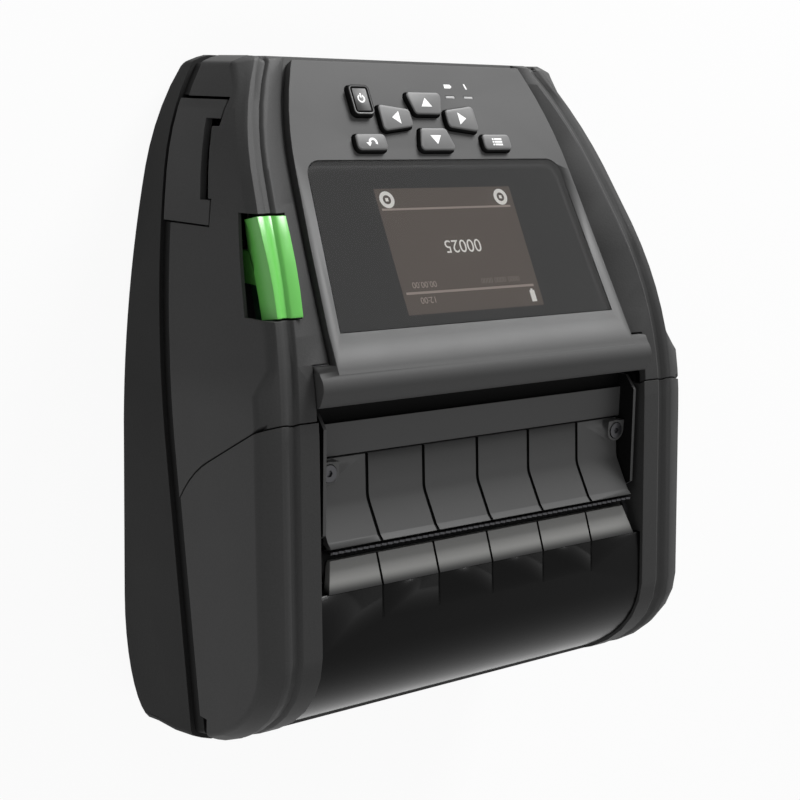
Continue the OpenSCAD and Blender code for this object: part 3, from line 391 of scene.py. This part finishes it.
def place(mesh, body, *nodes):
    """An object for a mesh that is already where it belongs: it rides on a body."""
    piece = bpy.data.objects.new(mesh.name, mesh)
    bpy.context.scene.collection.objects.link(piece)
    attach(piece, body)
    if nodes:
        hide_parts(*nodes)
    return piece


def merged(node):
    """A bmesh copy of a CAD piece, its corners merged and its flat faces whole."""
    form = bmesh.new()
    form.from_mesh(frame["nodes"][node].data)
    bmesh.ops.remove_doubles(form, verts=form.verts[:], dist=weld)
    bmesh.ops.dissolve_limit(form, angle_limit=flat_within, verts=form.verts[:],
                             edges=form.edges[:], use_dissolve_boundaries=False,
                             delimit={"NORMAL"})
    return form


def to_mesh(form, name, *materials, angle=30):
    """The finished bmesh as a smooth mesh, sharp where faces meet at more than an angle."""
    mesh = bpy.data.meshes.new(name)
    form.to_mesh(mesh)
    form.free()
    mesh.shade_smooth()
    mesh.set_sharp_from_angle(angle=math.radians(angle))
    for material in materials:
        mesh.materials.append(material)
    return mesh


def skin(node, form, favour):
    """A smooth skin from a bmesh: stands for a CAD piece, and favours its large faces."""
    piece = place(to_mesh(form, node + "_skin", finish_of[node]),
                  frame["nodes"][node]["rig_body"], node)
    weigh = piece.modifiers.new("weighted_normals", "WEIGHTED_NORMAL")
    weigh.keep_sharp = True
    weigh.weight = favour
    return piece


smooth_nodes = ["back_shell", "seam_band", "platen_roller", "platen_shaft", "latch_shaft",
                "drive_motor", "deflector_screws"]
skins = [skin(node, merged(node), 100) for node in smooth_nodes]
print("smooth skins:", len(skins), "faces", sum(len(s.data.polygons) for s in skins))

# %% [markdown]
# ## Walls that lean in
# The side walls of the upper shells have a draft: they lean in from the seam to the ridge, so the
# flat wall runs right up to it. The CAD has an upright wall with a wide chamfer. Every corner
# within the chamfer's width of the wall moves inward, by an amount that grows with its height.
# Two rays per corner measure the form at that place: one from the side finds the wall, one from
# above the ridge. The lean fades out round the nose. Upper housing, media cover and flap follow
# the same rule, so they still meet edge to edge.

# %% Lean the side walls
form = bmesh.new()
for node in ("upper_housing", "cover_frame"):
    form.from_mesh(frame["nodes"][node].data)
shell_tree = BVHTree.FromBMesh(form)
form.free()
chamfer, lean_most, lean_from, wall_probe = 6.0, 4.4, 26.0, 27.0
ridge_probe, ridge_drop, least_rise = 0.6, 2, 6   # mm inside the chamfer, below the ridge, of wall
nose_y, nose_fade = -92, 14
far_off = 100   # mm, where a measuring ray starts, well outside the printer


def lean(form):
    """Lean all corners near the side walls inward, further the higher they are."""
    for vert in form.verts:
        x, y, z = vert.co / MM
        wall = shell_tree.ray_cast(Vector((far_off, y, wall_probe)) * MM, Vector((-1, 0, 0)))[0]
        if not wall:
            continue
        wide = wall.x / MM
        ridge = shell_tree.ray_cast(Vector((wide - chamfer - ridge_probe, y, far_off)) * MM,
                                    Vector((0, 0, -1)))[0]
        inset = wide - abs(x)
        if not ridge or inset >= chamfer or z <= lean_from:
            continue
        share = min((z - lean_from) / max(ridge.z / MM - ridge_drop - lean_from, least_rise), 1)
        nose = min(max((y - nose_y) / nose_fade, 0), 1)
        shift = lean_most * share * nose * (1 - max(inset, 0) / chamfer)
        vert.co.x -= math.copysign(shift, x) * MM


for node in ("upper_housing", "cover_frame", "interface_flap"):
    form = merged(node)
    lean(form)
    skin(node, form, 50)
print("walls lean by", lean_most, "mm at the ridge")

# %% [markdown]
# ## Grooves between the ribs
# Ribs carry the paper over the window, the lip and the deflector. The narrow grooves between them
# stay in shadow, and a lamp as soft as ours would light them, so their faces are painted with shade:
# they take the black material. A groove is known by its place, a whole number of pitches from the
# middle, and by its width.

# %% Painted shade in the grooves
rib_pitch, groove_reach, groove_widest = 19.3, 0.55, 1.15


def groove_faces(form):
    """Give the faces of the narrow grooves between the ribs the second material, their painted shade.
    """
    for face in form.faces:
        xs = [v.co.x / MM for v in face.verts]
        middle = (min(xs) + max(xs)) / 2
        if (abs(middle - rib_pitch * round(middle / rib_pitch)) < groove_reach
                and max(xs) - min(xs) < groove_widest):
            face.material_index = 1


for node in ("cover_window", "cover_lip"):
    form = merged(node)
    groove_faces(form)
    place(to_mesh(form, node + "_skin", finish_of[node], painted_shade_abs), "media_cover", node)
print("grooves every", rib_pitch, "mm")

# %% [markdown]
# ## Reshaping a moulding along its length
# Three mouldings carry soft bends that a few flat facets can't show: the panel's lip, the paper
# deflector and the bridge behind it. Each is cut across at close stations, so that its faces can
# follow a curve, and then every corner is raised or lowered by the difference between the wanted
# line and the CAD's own top line, which a ray from above finds. The wall keeps its thickness.

# %% Cutting and raising
def everything(form):
    """All corners, edges and faces of a bmesh, as its cutting operator wants them."""
    return form.verts[:] + form.edges[:] + form.faces[:]


def cut_across(form, stations):
    """Cut a bmesh by upright planes across Y, at places in mm."""
    for y in stations:
        bmesh.ops.bisect_plane(form, geom=everything(form), plane_co=(0, y * MM, 0),
                               plane_no=(0, 1, 0))


def top_line(form, x):
    """A function that gives the height of a bmesh's top, in mm, at a place y along it."""
    tree = BVHTree.FromBMesh(form)

    def height(y):
        return tree.ray_cast(Vector((x, y, far_off)) * MM, Vector((0, 0, -1)))[0].z / MM
    return height


def bend(y, start, end, before, after):
    """Height gained from start to y along -Y, as the slope turns evenly from before to after."""
    t = min(max(start - y, 0), start - end)
    past = max(end - y, 0)
    return before * t + (after - before) * t * t / (2 * (start - end)) + after * past


print("reshaping helpers ready")

# %% [markdown]
# ### Panel lip
# At its foot the panel's slope turns over into a rounded lip above the paper slot. The lip could
# be swept as a profile of its own, but then it would need new ends beside the rails. So the CAD's
# panel is cut every half millimetre there, and its top is laid on a slope that turns evenly.

# %% Panel lip
form = merged("display_panel")
height = top_line(form, 30)
lip_base, lip_edge = 69.4, 7.4      # height that stays, and the front of the CAD's lip
turn_start, turn_end = 13.6, 9.2
flat_near, flat_far = 20, 30        # two places on the flat slope behind the lip
end_fall = -0.4                     # mm per mm, how the lip falls at its front
rise = (height(flat_near) - height(flat_far)) / (flat_far - flat_near)
foot_height = height(flat_near) + rise * (flat_near - turn_start)
peak = max(height(tenth / 10) for tenth in range(74, 140))   # between 7.4 and 14 mm
cut_across(form, [turn_start + 1.6 - 0.5 * i for i in range(19)])
for vert in form.verts:
    y, z = vert.co.y / MM, vert.co.z / MM
    if y < turn_start + 2.8 and z > lip_base:
        old = peak if y < lip_edge else height(y)
        new = (foot_height + bend(y, turn_start, turn_end, rise, end_fall) if y < turn_start
               else height(flat_near) + rise * (flat_near - y))
        vert.co.z = (lip_base + (z - lip_base) * (new - lip_base) / (old - lip_base)) * MM
place(to_mesh(form, "display_panel_skin", panel_abs, angle=40), "housing", "display_panel")
print("lip top", round(foot_height, 2), "mm where its turn starts, CAD peak", round(peak, 2))

# %% [markdown]
# ### Paper deflector
# This satin plate guides the label from the bridge to the tear bar: nearly level at first, then
# over a soft bend and up a steep slope. The CAD gives the bend as facets. One straight run at each
# end and an even turn between them need only two heights, which are measured on the plate itself.

# %% Paper deflector
form = merged("deflector_plate")
height = top_line(form, 10)
near, far = -9.9, -31.2
near_drop, far_rise = 0.1, 0.2   # mm that the two ends move from where the CAD has them
bend_start, bend_end = -19.8, -22.4
flat_rise = 0.072                # mm per mm, how the level run rises towards the bend
steep = (height(far) - height(near) + near_drop + far_rise + flat_rise * (bend_start - near)) / (
    bend_start / 2 + bend_end / 2 - far)
cut_across(form, [-18 - 0.6 * i for i in range(12)] + [-26, -27.5, -29, -30.3])
for vert in form.verts:
    y = max(min(vert.co.y / MM, near), far)
    vert.co.z += (height(near) - near_drop - flat_rise * (max(y, bend_start) - near)
                  + bend(y, bend_start, bend_end, flat_rise, steep) - height(y)) * MM
# painted shade in the grooves between the ribs
groove_faces(form)
place(to_mesh(form, "deflector_plate_skin", deflector_abs, painted_shade_abs, angle=40), "housing",
      "deflector_plate")
print("deflector rises", round(steep, 2), "mm per mm past its bend")

# %% [markdown]
# ### Exit bridge
# Behind the deflector a bridge spans the slot. The strip of it towards the keys lies lower, in the
# dark under the lip. Two cuts close together and a drop of all corners past them make that step
# and keep the moulding closed. What lies past it, and the sides by the cheeks, are painted with
# shade: they take the black material, as they lie in shadow.

# %% Exit bridge
form = merged("exit_bridge")
step_y, step_drop, cheek_x = 0.0, 1.4, 55.9
bridge_low, bridge_top = 64, 66.05
cut_across(form, [step_y, step_y + 0.05])
past_step = step_y + 0.02
for vert in form.verts:
    x, y, z = vert.co / MM
    if y > past_step and bridge_low < z < bridge_top and abs(x) < cheek_x + 0.1:
        vert.co.z -= step_drop * MM
# painted shade: the strip past the step and the sides by the cheeks take the black material
for face in form.faces:
    x, y, z = face.calc_center_median() / MM
    behind = y > past_step and abs(x) < cheek_x
    cheek_side = abs(face.normal.x) > 0.7 and abs(x) > cheek_x - 0.2
    face.material_index = 1 if behind or cheek_side else 0
place(to_mesh(form, "exit_bridge_skin", bridge_abs, painted_shade_abs), "housing", "exit_bridge")
print("bridge stepped at y", step_y, "mm")

# %% [markdown]
# ## Release button
# The button fills only the ridge side of its slot: between it and the side wall lies a recess in
# shadow. So the copy is cut by an upright plane that follows the ridge, and the cut becomes the
# button's own side wall: its lower corners are drawn down, as the real cap wraps over the edge.
# All outer edges get a small moulded radius. The faces below a set height are painted with shade:
# they take the black material, which stands for the recess's shadow.

# %% Release button
form = merged("release_button")
foot_end, key_end = Vector((-67.8, 30.2, 0)) * MM, Vector((-66.3, 51.9, 0)) * MM
wrap = Vector((0, -1.2, -4.2)) * MM   # how far the cap reaches down over the edge
rim_radius, recess_top = 0.4 * MM, 50 * MM
outward = (key_end - foot_end).cross(Vector((0, 0, -1))).normalized()
bmesh.ops.bisect_plane(form, geom=everything(form), plane_co=foot_end, plane_no=outward,
                       dist=1e-6)
beyond = [f for f in form.faces if (f.calc_center_median() - foot_end).dot(outward) > 2e-5]
bmesh.ops.delete(form, geom=beyond, context="FACES")
bmesh.ops.holes_fill(form, edges=[e for e in form.edges if e.is_boundary], sides=0)
bmesh.ops.recalc_face_normals(form, faces=form.faces[:])
on_cut = [v for v in form.verts if abs((v.co - foot_end).dot(outward)) < 1e-5]
lower = [v for v in on_cut if not any(f.normal.z > 0.3 for f in v.link_faces)]
bmesh.ops.translate(form, verts=lower, vec=wrap)
rim = [e for e in form.edges if len(e.link_faces) == 2
       and e.calc_face_angle() > math.radians(50) and e.calc_length() > rim_radius
       and any(f.normal.z > 0.3 for f in e.link_faces)]
bmesh.ops.bevel(form, geom=rim, offset=rim_radius, segments=2, profile=0.5, affect="EDGES",
                material=-1, clamp_overlap=True)
# painted shade: the faces low in the slot take the black material
for face in form.faces:
    face.material_index = 1 if face.calc_center_median().z < recess_top else 0
place(to_mesh(form, "release_button_cap", green_pc, painted_shade_abs, angle=25), "release_button",
      "release_button")
print("release button:", len(lower), "corners drawn down,", len(rim), "edges rounded")

# %% [markdown]
# ## Coil springs
# Two coil springs are pressed by what moves on them: the button's and the battery latch's. Each is
# drawn wire wound into a helix, made from a small round that is spun about the spring's axis with a
# rise at every step.

# %% Coil springs
spring_slack = 0.1   # mm, how much slimmer it is wound than its place allows
wire_sides, steps_per_turn = 8, 20


def coil_spring(node, along_z, turns, wire, travel):
    """Wind a helix in the box of a CAD spring, and print the travel in mm that its joint gives."""
    low, high = [Vector(c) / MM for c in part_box(node)]
    foot = Vector(((low.x + high.x) / 2, (low.y + high.y) / 2, low.z) if along_z else
                  ((low.x + high.x) / 2, low.y, (low.z + high.z) / 2))
    length = (high.z - low.z) if along_z else (high.y - low.y)
    radius = (high.x - low.x) / 2 - wire - spring_slack
    form = bmesh.new()
    bmesh.ops.create_circle(form, cap_ends=True, segments=wire_sides, radius=wire, matrix=(
        Matrix.Translation((radius, 0, wire)) @ Matrix.Rotation(math.pi / 2, 4, "X")))
    steps = steps_per_turn * turns
    bmesh.ops.spin(form, geom=form.faces[:], cent=(0, 0, 0), axis=(0, 0, 1),
                   dvec=(0, 0, (length - 2 * wire) / steps), angle=2 * math.pi * turns,
                   steps=steps)
    bmesh.ops.recalc_face_normals(form, faces=form.faces[:])
    turned = Matrix.Identity(4) if along_z else Matrix.Rotation(-math.pi / 2, 4, "X")
    bmesh.ops.transform(form, matrix=Matrix.Scale(MM, 4) @ Matrix.Translation(foot) @ turned,
                        verts=form.verts[:])
    spring = place(to_mesh(form, node + "_wire", spring_steel, angle=60), "housing", node)
    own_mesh(spring)
    print(node, "is", round(length, 1), "mm long, and gives", travel, "mm")


coil_spring("release_spring", True, 7, 0.3, 2.5)
coil_spring("latch_spring", False, 6, 0.2, 2.6)

# %% [markdown]
# ## A frame on the sloping panel
# Keys, screen and prints all lie on one slope. We measure it on the lens, a flat plate in that
# slope: its upward faces give the direction, and its highest corner gives a point. From these we
# make one matrix whose X and Y run on the panel in millimetres and whose Z stands out of it, so
# that everything on the panel can be drawn flat and then be laid down in one step.

# %% Measure the panel
lens_mesh = frame["nodes"]["display_lens"].data
facing = max((p for p in lens_mesh.polygons if p.normal.z > 0.5), key=lambda p: p.area).normal
slope = math.atan2(facing.y, facing.z)
corner = max((v.co for v in lens_mesh.vertices), key=lambda co: co.z)
panel = (Matrix.Translation((0, corner.y, corner.z)) @ Matrix.Rotation(-slope, 4, "X")
         @ Matrix.Scale(MM, 4))
from_world = panel.inverted()
print("panel slopes", round(math.degrees(slope), 2), "degrees")


def laid_flat(node):
    """A merged copy of a CAD piece, turned into the panel's own frame."""
    form = merged(node)
    bmesh.ops.transform(form, matrix=from_world, verts=form.verts[:])
    return form


def on_panel(node):
    """Lowest and highest corner of a CAD piece in the panel's own frame, in mm."""
    spots = [from_world @ v.co for v in frame["nodes"][node].data.vertices]
    return [Vector([pick(p[i] for p in spots) for i in range(3)]) for pick in (min, max)]


screen_low, screen_high = on_panel("lcd_module")
print("screen module", [round(v, 1) for v in screen_high - screen_low], "mm")

# %% [markdown]
# ## Key caps
# The keypad is one silicone mat whose keys come up through the panel. Their sides stay black, which
# also paints the shade that falls on them; only the tops are sprayed grey, and the mould rounds the
# rim. So each key is a merged copy of its CAD piece whose top rim gets a bevel, and the faces that
# look up take the paint. The power key is different: its top sinks in a black groove around a grey
# middle, with a thin grey ring outside that is a painted highlight on its rim. Five insets of the top
# face, two of them with a step, draw that.

# %% Key caps
def key_form(node):
    """Merged copy of a key in the panel's frame, and its top face."""
    form = laid_flat(node)
    flat = [f for f in form.faces if f.normal.z > 0.99]
    highest = max(f.calc_center_median().z for f in flat)
    return form, [f for f in flat if f.calc_center_median().z > highest - 0.01]


# width and step in mm of each inset of the power key's top; the second one is a painted highlight on
# the rim
power_insets = ((0.3, 0), (0.28, 0), (0.12, -0.55), (0.35, 0), (0.1, 0.5))
rim_highlight_inset, key_radius = 1, 0.55
key_names = [n for n in frame["nodes"] if n.startswith("key_")]
for node in key_names:
    form, top = key_form(node)
    if node == "key_power":
        painted = list(top)
        for number, (wide, step) in enumerate(power_insets):
            ring = bmesh.ops.inset_region(form, faces=top, thickness=wide, depth=step,
                                          use_even_offset=True)["faces"]
            painted += ring if number == rim_highlight_inset else []
        for face in painted:
            face.material_index = 1
    else:
        rim = list({edge for face in top for edge in face.edges})
        bmesh.ops.bevel(form, geom=rim, offset=key_radius, segments=3, profile=0.5,
                        affect="EDGES", material=-1)
        # the sides keep the black, which also paints the shade on them; faces that look up take the
        # grey
        for face in form.faces:
            face.material_index = 1 if face.normal.z > 0.4 else 0
    bmesh.ops.transform(form, matrix=panel, verts=form.verts[:])
    place(to_mesh(form, node + "_cap", key_rubber, key_paint, angle=40),
          frame["nodes"][node]["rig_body"], node)
print("key caps:", len(key_names))

# %% [markdown]
# ## Printed symbols
# The white symbols are pad-printed: a few hundredths of a millimetre of ink. We draw each outline
# from its few corner points, give it that thickness by an extrusion, and collect all prints of one
# key in one mesh, which rides on that key. An arc of ink is a circle's rim made into a ring.

# %% Ink helpers
ink_thick, ink_sunk = 0.03, 0.005   # mm, the print, and how deep its foot sits in the surface
arc_step = 15                       # degrees between the stations of an arc of ink


def thicken(form, faces, rise):
    """Extrude flat faces of a bmesh by a rise in mm."""
    raised = bmesh.ops.extrude_face_region(form, geom=faces)["geom"]
    bmesh.ops.translate(form, verts=[v for v in raised if isinstance(v, bmesh.types.BMVert)],
                        vec=(0, 0, rise))


def ink(form, outline, low, thick=ink_thick):
    """Add a flat shape with these corners to a bmesh, in panel millimetres."""
    thicken(form, [form.faces.new([form.verts.new((x, y, low)) for x, y in outline])], thick)


def bar(form, x0, y0, x1, y1, low, thick=ink_thick):
    """Add an upright rectangle of ink."""
    ink(form, [(x0, y0), (x1, y0), (x1, y1), (x0, y1)], low, thick)


def ring_of_ink(form, x, y, radius, inner, low, start=0, turn=360, thick=ink_thick):
    """Add a ring, or an arc of one, between two radii: a short bar's end spun about a centre."""
    a = math.radians(start)
    reach = [(x + r * math.cos(a), y + r * math.sin(a)) for r in (inner, radius)]
    ends = [form.verts.new((px, py, z)) for z in (low, low + thick) for px, py in reach]
    side = form.faces.new((ends[0], ends[1], ends[3], ends[2]))
    bmesh.ops.spin(form, geom=[side], cent=(x, y, 0), axis=(0, 0, 1), angle=math.radians(turn),
                   steps=int(turn / arc_step), use_merge=turn == 360)


def lay_ink(form, name, material, body):
    """Lay the collected ink on the panel, close it, and let it ride on a body."""
    bmesh.ops.remove_doubles(form, verts=form.verts[:], dist=0.001)
    bmesh.ops.recalc_face_normals(form, faces=form.faces[:])
    bmesh.ops.transform(form, matrix=panel, verts=form.verts[:])
    place(to_mesh(form, name, material), body)


def key_spot(node):
    """Middle of a key's top, and the height at which its ink starts, in panel millimetres."""
    low, high = on_panel(node)
    return (low.x + high.x) / 2, (low.y + high.y) / 2, high.z - ink_sunk


print("ink helpers ready: ink is", ink_thick, "mm thick")

# %% Arrows
for node, turn in (("key_up", 0), ("key_left", 90), ("key_down", 180), ("key_right", 270)):
    x, y, top = key_spot(node)
    turned = Matrix.Rotation(math.radians(turn), 2)
    corners = [turned @ Vector(p) for p in ((-1.9, -1.1), (1.9, -1.1), (0, 1.6))]
    form = bmesh.new()
    ink(form, [(x + p.x, y + p.y) for p in corners], top)
    lay_ink(form, node + "_arrow_print", white_print, frame["nodes"][node]["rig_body"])
print("four arrows")

# %% Return arrow: an arc with a head
x, y, top = key_spot("key_back")
form = bmesh.new()
ring_of_ink(form, x + 0.3, y - 0.3, 1.5, 0.8, top, start=-20, turn=200)
ink(form, [(x - 2.1, y - 0.2), (x - 0.2, y - 0.2), (x - 1.1, y - 1.4)], top)
lay_ink(form, "key_back_print", white_print, "key_back")
print("return arrow at", round(x, 1), round(y, 1), "mm")

# %% List: rows of a dot and a bar
x, y, top = key_spot("key_menu")
form = bmesh.new()
row_pitch, row_half = 0.85, 0.27
for row in (-row_pitch, 0, row_pitch):
    bar(form, x - 1.0, y + row - row_half, x + 1.8, y + row + row_half, top)
    bar(form, x - 1.8, y + row - row_half, x - 1.25, y + row + row_half, top)
lay_ink(form, "key_menu_print", white_print, "key_menu")
print("list at", round(x, 1), round(y, 1), "mm")

# %% Power sign: an open ring and a bar, on the sunken middle of its key
x, y, top = key_spot("key_power")
top += sum(step for wide, step in power_insets)
form = bmesh.new()
ring_of_ink(form, x, y + 0.3, 1.25, 0.8, top, start=115, turn=310)
bar(form, x - 0.2, y + 0.6, x + 0.2, y + 1.9, top)
lay_ink(form, "key_power_print", white_print, "key_power")
print("power sign at", round(x, 1), round(y, 1), "mm")

# %% [markdown]
# ## Lights and their signs
# Two clear pipes end flush in the panel. Above each is a small printed sign: a battery, and a
# slanted stroke. They lie on the panel itself, whose height is a touch above the lens.

# %% Signs above the lights
lights = sorted({round((from_world @ v.co).x, 1)
                 for v in frame["nodes"]["status_lights"].data.vertices})
first, second = (lights[0] + lights[1]) / 2, (lights[-2] + lights[-1]) / 2
light_high = on_panel("status_lights")[1]
sign_z, sign_y = light_high.z - ink_sunk, light_high.y + 3.1
form = bmesh.new()
bar(form, first - 1.2, sign_y - 0.6, first + 1.1, sign_y + 0.6, sign_z)
bar(form, first + 1.1, sign_y - 0.3, first + 1.5, sign_y + 0.3, sign_z)
ink(form, [(second - 0.1, sign_y - 0.8), (second + 0.45, sign_y - 0.8),
           (second - 0.1, sign_y + 0.9), (second - 0.6, sign_y + 0.9)], sign_z)
lay_ink(form, "panel_sign_print", white_print, "housing")
print("lights at", round(first, 1), "and", round(second, 1), "mm")

# %% [markdown]
# ## The screen
# Behind the lens a dark ink leaves only the screen's window clear. The ink is a thin sheet with the
# lens's outline, made from the lens itself: only the copy's lower face is kept, four cuts part it
# along the window's sides, and the middle goes. The picture on the screen is plain: two round keys,
# two lines, a counter, a clock and a battery. Digits are a text curve that is made a mesh before it
# is laid down. All of it is drawn for a reader at the nose, so it is turned half round.

# %% Lens, clear on its bonded faces
form = laid_flat("display_lens")
for face in form.faces:
    face.material_index = 1 if face.normal.z < 0.5 else 0
bmesh.ops.transform(form, matrix=panel, verts=form.verts[:])
lens = place(to_mesh(form, "display_lens_clear", lens_pmma, lens_back), "housing", "display_lens")
print("lens with", len(lens.data.polygons), "faces")

# %% Ink behind the lens
ink_margin = 1                       # mm by which the ink covers the edge of the screen
mask_gap, mask_thick = 0.016, 0.018  # mm below the lens, and mm of ink
form = laid_flat("display_lens")
bmesh.ops.delete(form, geom=[f for f in form.faces if f.normal.z > -0.9], context="FACES")
screen_mid = (screen_low + screen_high) / 2
view_w = (screen_high.x - screen_low.x) / 2 - ink_margin
view_h = (screen_high.y - screen_low.y) / 2 - ink_margin
for side in (-1, 1):
    for spot, way in (((side * view_w, 0, 0), (1, 0, 0)),
                      ((0, screen_mid.y + side * view_h, 0), (0, 1, 0))):
        bmesh.ops.bisect_plane(form, geom=everything(form), plane_co=spot, plane_no=way)
window = [f for f in form.faces if abs(f.calc_center_median().x) < view_w
          and abs(f.calc_center_median().y - screen_mid.y) < view_h]
bmesh.ops.delete(form, geom=window, context="FACES")
thicken(form, form.faces[:], -mask_thick)
bmesh.ops.recalc_face_normals(form, faces=form.faces[:])
bmesh.ops.translate(form, verts=form.verts[:], vec=(0, 0, -mask_gap))
bmesh.ops.transform(form, matrix=panel, verts=form.verts[:])
lens_mask = place(to_mesh(form, "lens_mask_ink", mask_ink), "housing")
print("screen window", round(2 * view_w, 1), "by", round(2 * view_h, 1), "mm")

# %% Digits for the screen
glass = screen_high.z
dot_low, dot_thick = glass + 0.002, 0.02   # a lit layer on the glass, with its digits in mid-layer


def digits(form, text, x, y, size):
    """Add upright digits, middle at x, y, size in mm, to a bmesh; turned half round."""
    curve = bpy.data.curves.new("digits", "FONT")
    curve.body = text
    curve.align_x, curve.align_y = "CENTER", "CENTER"
    curve.size = size
    curve.extrude = dot_thick / 2
    letters = bpy.data.objects.new("digits", curve)
    bpy.context.scene.collection.objects.link(letters)
    bpy.context.view_layer.update()
    flat = bpy.data.meshes.new_from_object(letters)
    bpy.data.objects.remove(letters)
    flat.transform(Matrix.Translation((x, y, dot_low + dot_thick / 2))
                   @ Matrix.Rotation(math.pi, 4, "Z"))
    form.from_mesh(flat)


print("lit layer", dot_thick, "mm thick on the glass")

# %% Counter, round keys and battery
mid = screen_mid.y
key_row, key_reach, key_hole, key_dot = mid + 15.2, 2.5, 1.35, 0.5
form = bmesh.new()
digits(form, "00025", 1.0, mid + 0.9, 5.4)
for x in (-21.0, 20.2):
    ring_of_ink(form, x, key_row, key_reach, key_hole, dot_low, thick=dot_thick)
    bar(form, x - key_dot, key_row - key_dot, x + key_dot, key_row + key_dot, dot_low, dot_thick)
bar(form, 20.6, mid - 17.2, 22.4, mid - 13.8, dot_low, dot_thick)
bar(form, 21.1, mid - 13.8, 21.9, mid - 13.3, dot_low, dot_thick)
lay_ink(form, "screen_counter", screen_white, "housing")
print("counter, two round keys and a battery")

# %% Lines and small digits
form = bmesh.new()
bar(form, -23.6, mid + 12.0, 23.0, mid + 12.6, dot_low, dot_thick)
bar(form, -23.4, mid - 12.6, 22.8, mid - 11.9, dot_low, dot_thick)
digits(form, "12:00", -16.4, mid - 14.4, 2.6)
digits(form, "00.00.00", -16.4, mid - 9.9, 2.5)
lay_ink(form, "screen_lines", screen_grey, "housing")
form = bmesh.new()
digits(form, "0000 0000 0000", 11.0, mid - 9.9, 2.2)
lay_ink(form, "screen_small_digits", screen_dim, "housing")
print("screen drawn at height", round(glass, 2), "mm")

# %% [markdown]
# ## Floor, backdrop and light
# A pale floor carries the printer and its shadow. To the eye and in mirrors it is nearly white by
# itself, and the small rest of it is paper that takes the shadow. One soft lamp stands low behind
# the key end, to the right, and draws the bright lines along the ridges. A weak one stands on the
# other side, and one above lifts the tops. The world fills the rest evenly.

# %% Which rays see a backdrop
def clear_sight(tree):
    """1 for rays from the eye, from a mirror or through clear plastic, 0 for those that light."""
    path = add(tree, "LightPath")
    seen = path.outputs["Is Camera Ray"]
    for kind in ("Is Transmission Ray", "Is Glossy Ray"):
        seen = add(tree, "Math", {0: seen, 1: path.outputs[kind]}, operation="MAXIMUM").outputs[0]
    return seen


print("backdrops are white to the eye and in mirrors")

# %% Floor
white_share = 0.93                       # of what the floor shows, the rest is lit paper
floor_radius, floor_drop = 2.4, 0.0004   # metres; it lies a touch below the feet
stage_paint, tree, out = start_material("matt_white_paper_floor")
paper = add(tree, "BsdfDiffuse", {"Color": linear("#f4f4f4")})
bright = add(tree, "Emission", {"Color": linear("#ffffff"), "Strength": 1.0})
share = add(tree, "Math", {0: clear_sight(tree), 1: white_share}, operation="MULTIPLY").outputs[0]
both = add(tree, "MixShader", {0: share, 1: paper.outputs[0], 2: bright.outputs[0]})
tree.links.new(both.outputs[0], out.inputs[0])

form = bmesh.new()
bmesh.ops.create_circle(form, cap_ends=True, segments=64, radius=floor_radius)
bmesh.ops.translate(form, verts=form.verts[:], vec=(0, 0, -floor_drop))
mesh = bpy.data.meshes.new("paper_floor")
form.to_mesh(mesh)
form.free()
mesh.materials.append(stage_paint)
floor = bpy.data.objects.new("paper_floor", mesh)
bpy.context.scene.collection.objects.link(floor)
print("floor", 2 * floor_radius, "m across")

# %% World
world = bpy.data.worlds.new("studio")
world.use_nodes = True
bpy.context.scene.world = world
tree = world.node_tree
tree.nodes.clear()
fill_light = 0.3   # of what a white world would give
fill = add(tree, "Background", {"Color": linear("#ffffff"), "Strength": fill_light})
white = add(tree, "Background", {"Color": linear("#ffffff"), "Strength": 1.0})
sky = add(tree, "MixShader", {0: clear_sight(tree), 1: fill.outputs[0], 2: white.outputs[0]})
add(tree, "OutputWorld", {"Surface": sky.outputs[0]})
print("world fills with", fill_light, "of full white")

# %% Lamps
aim = Vector((0, 0, 0.04))   # metres, the middle of the printer


def lamp(name, direction, distance, size, watts):
    """A square soft lamp that looks at the middle of the printer from a direction."""
    data = bpy.data.lights.new(name, "AREA")
    data.shape = "SQUARE"
    data.size = size
    data.energy = watts
    light = bpy.data.objects.new(name, data)
    away = Vector(direction).normalized()
    light.location = aim + away * distance
    light.rotation_euler = away.to_track_quat("Z", "Y").to_euler()
    bpy.context.scene.collection.objects.link(light)
    return light


lamps = [lamp("key_softbox", (0.48, 0.87, 0.13), 0.95, 0.32, 16),
         lamp("side_softbox", (-0.8, -0.55, 0.3), 0.5, 0.3, 0.25),
         lamp("top_softbox", (-0.1, -0.35, 0.93), 0.9, 0.6, 1.2)]
print("lamps:", [light.name for light in lamps])

# %% [markdown]
# ## View transform
# The scene's colours go through the plain standard view transform.

# %% View transform
bpy.context.scene.view_settings.view_transform = "Standard"
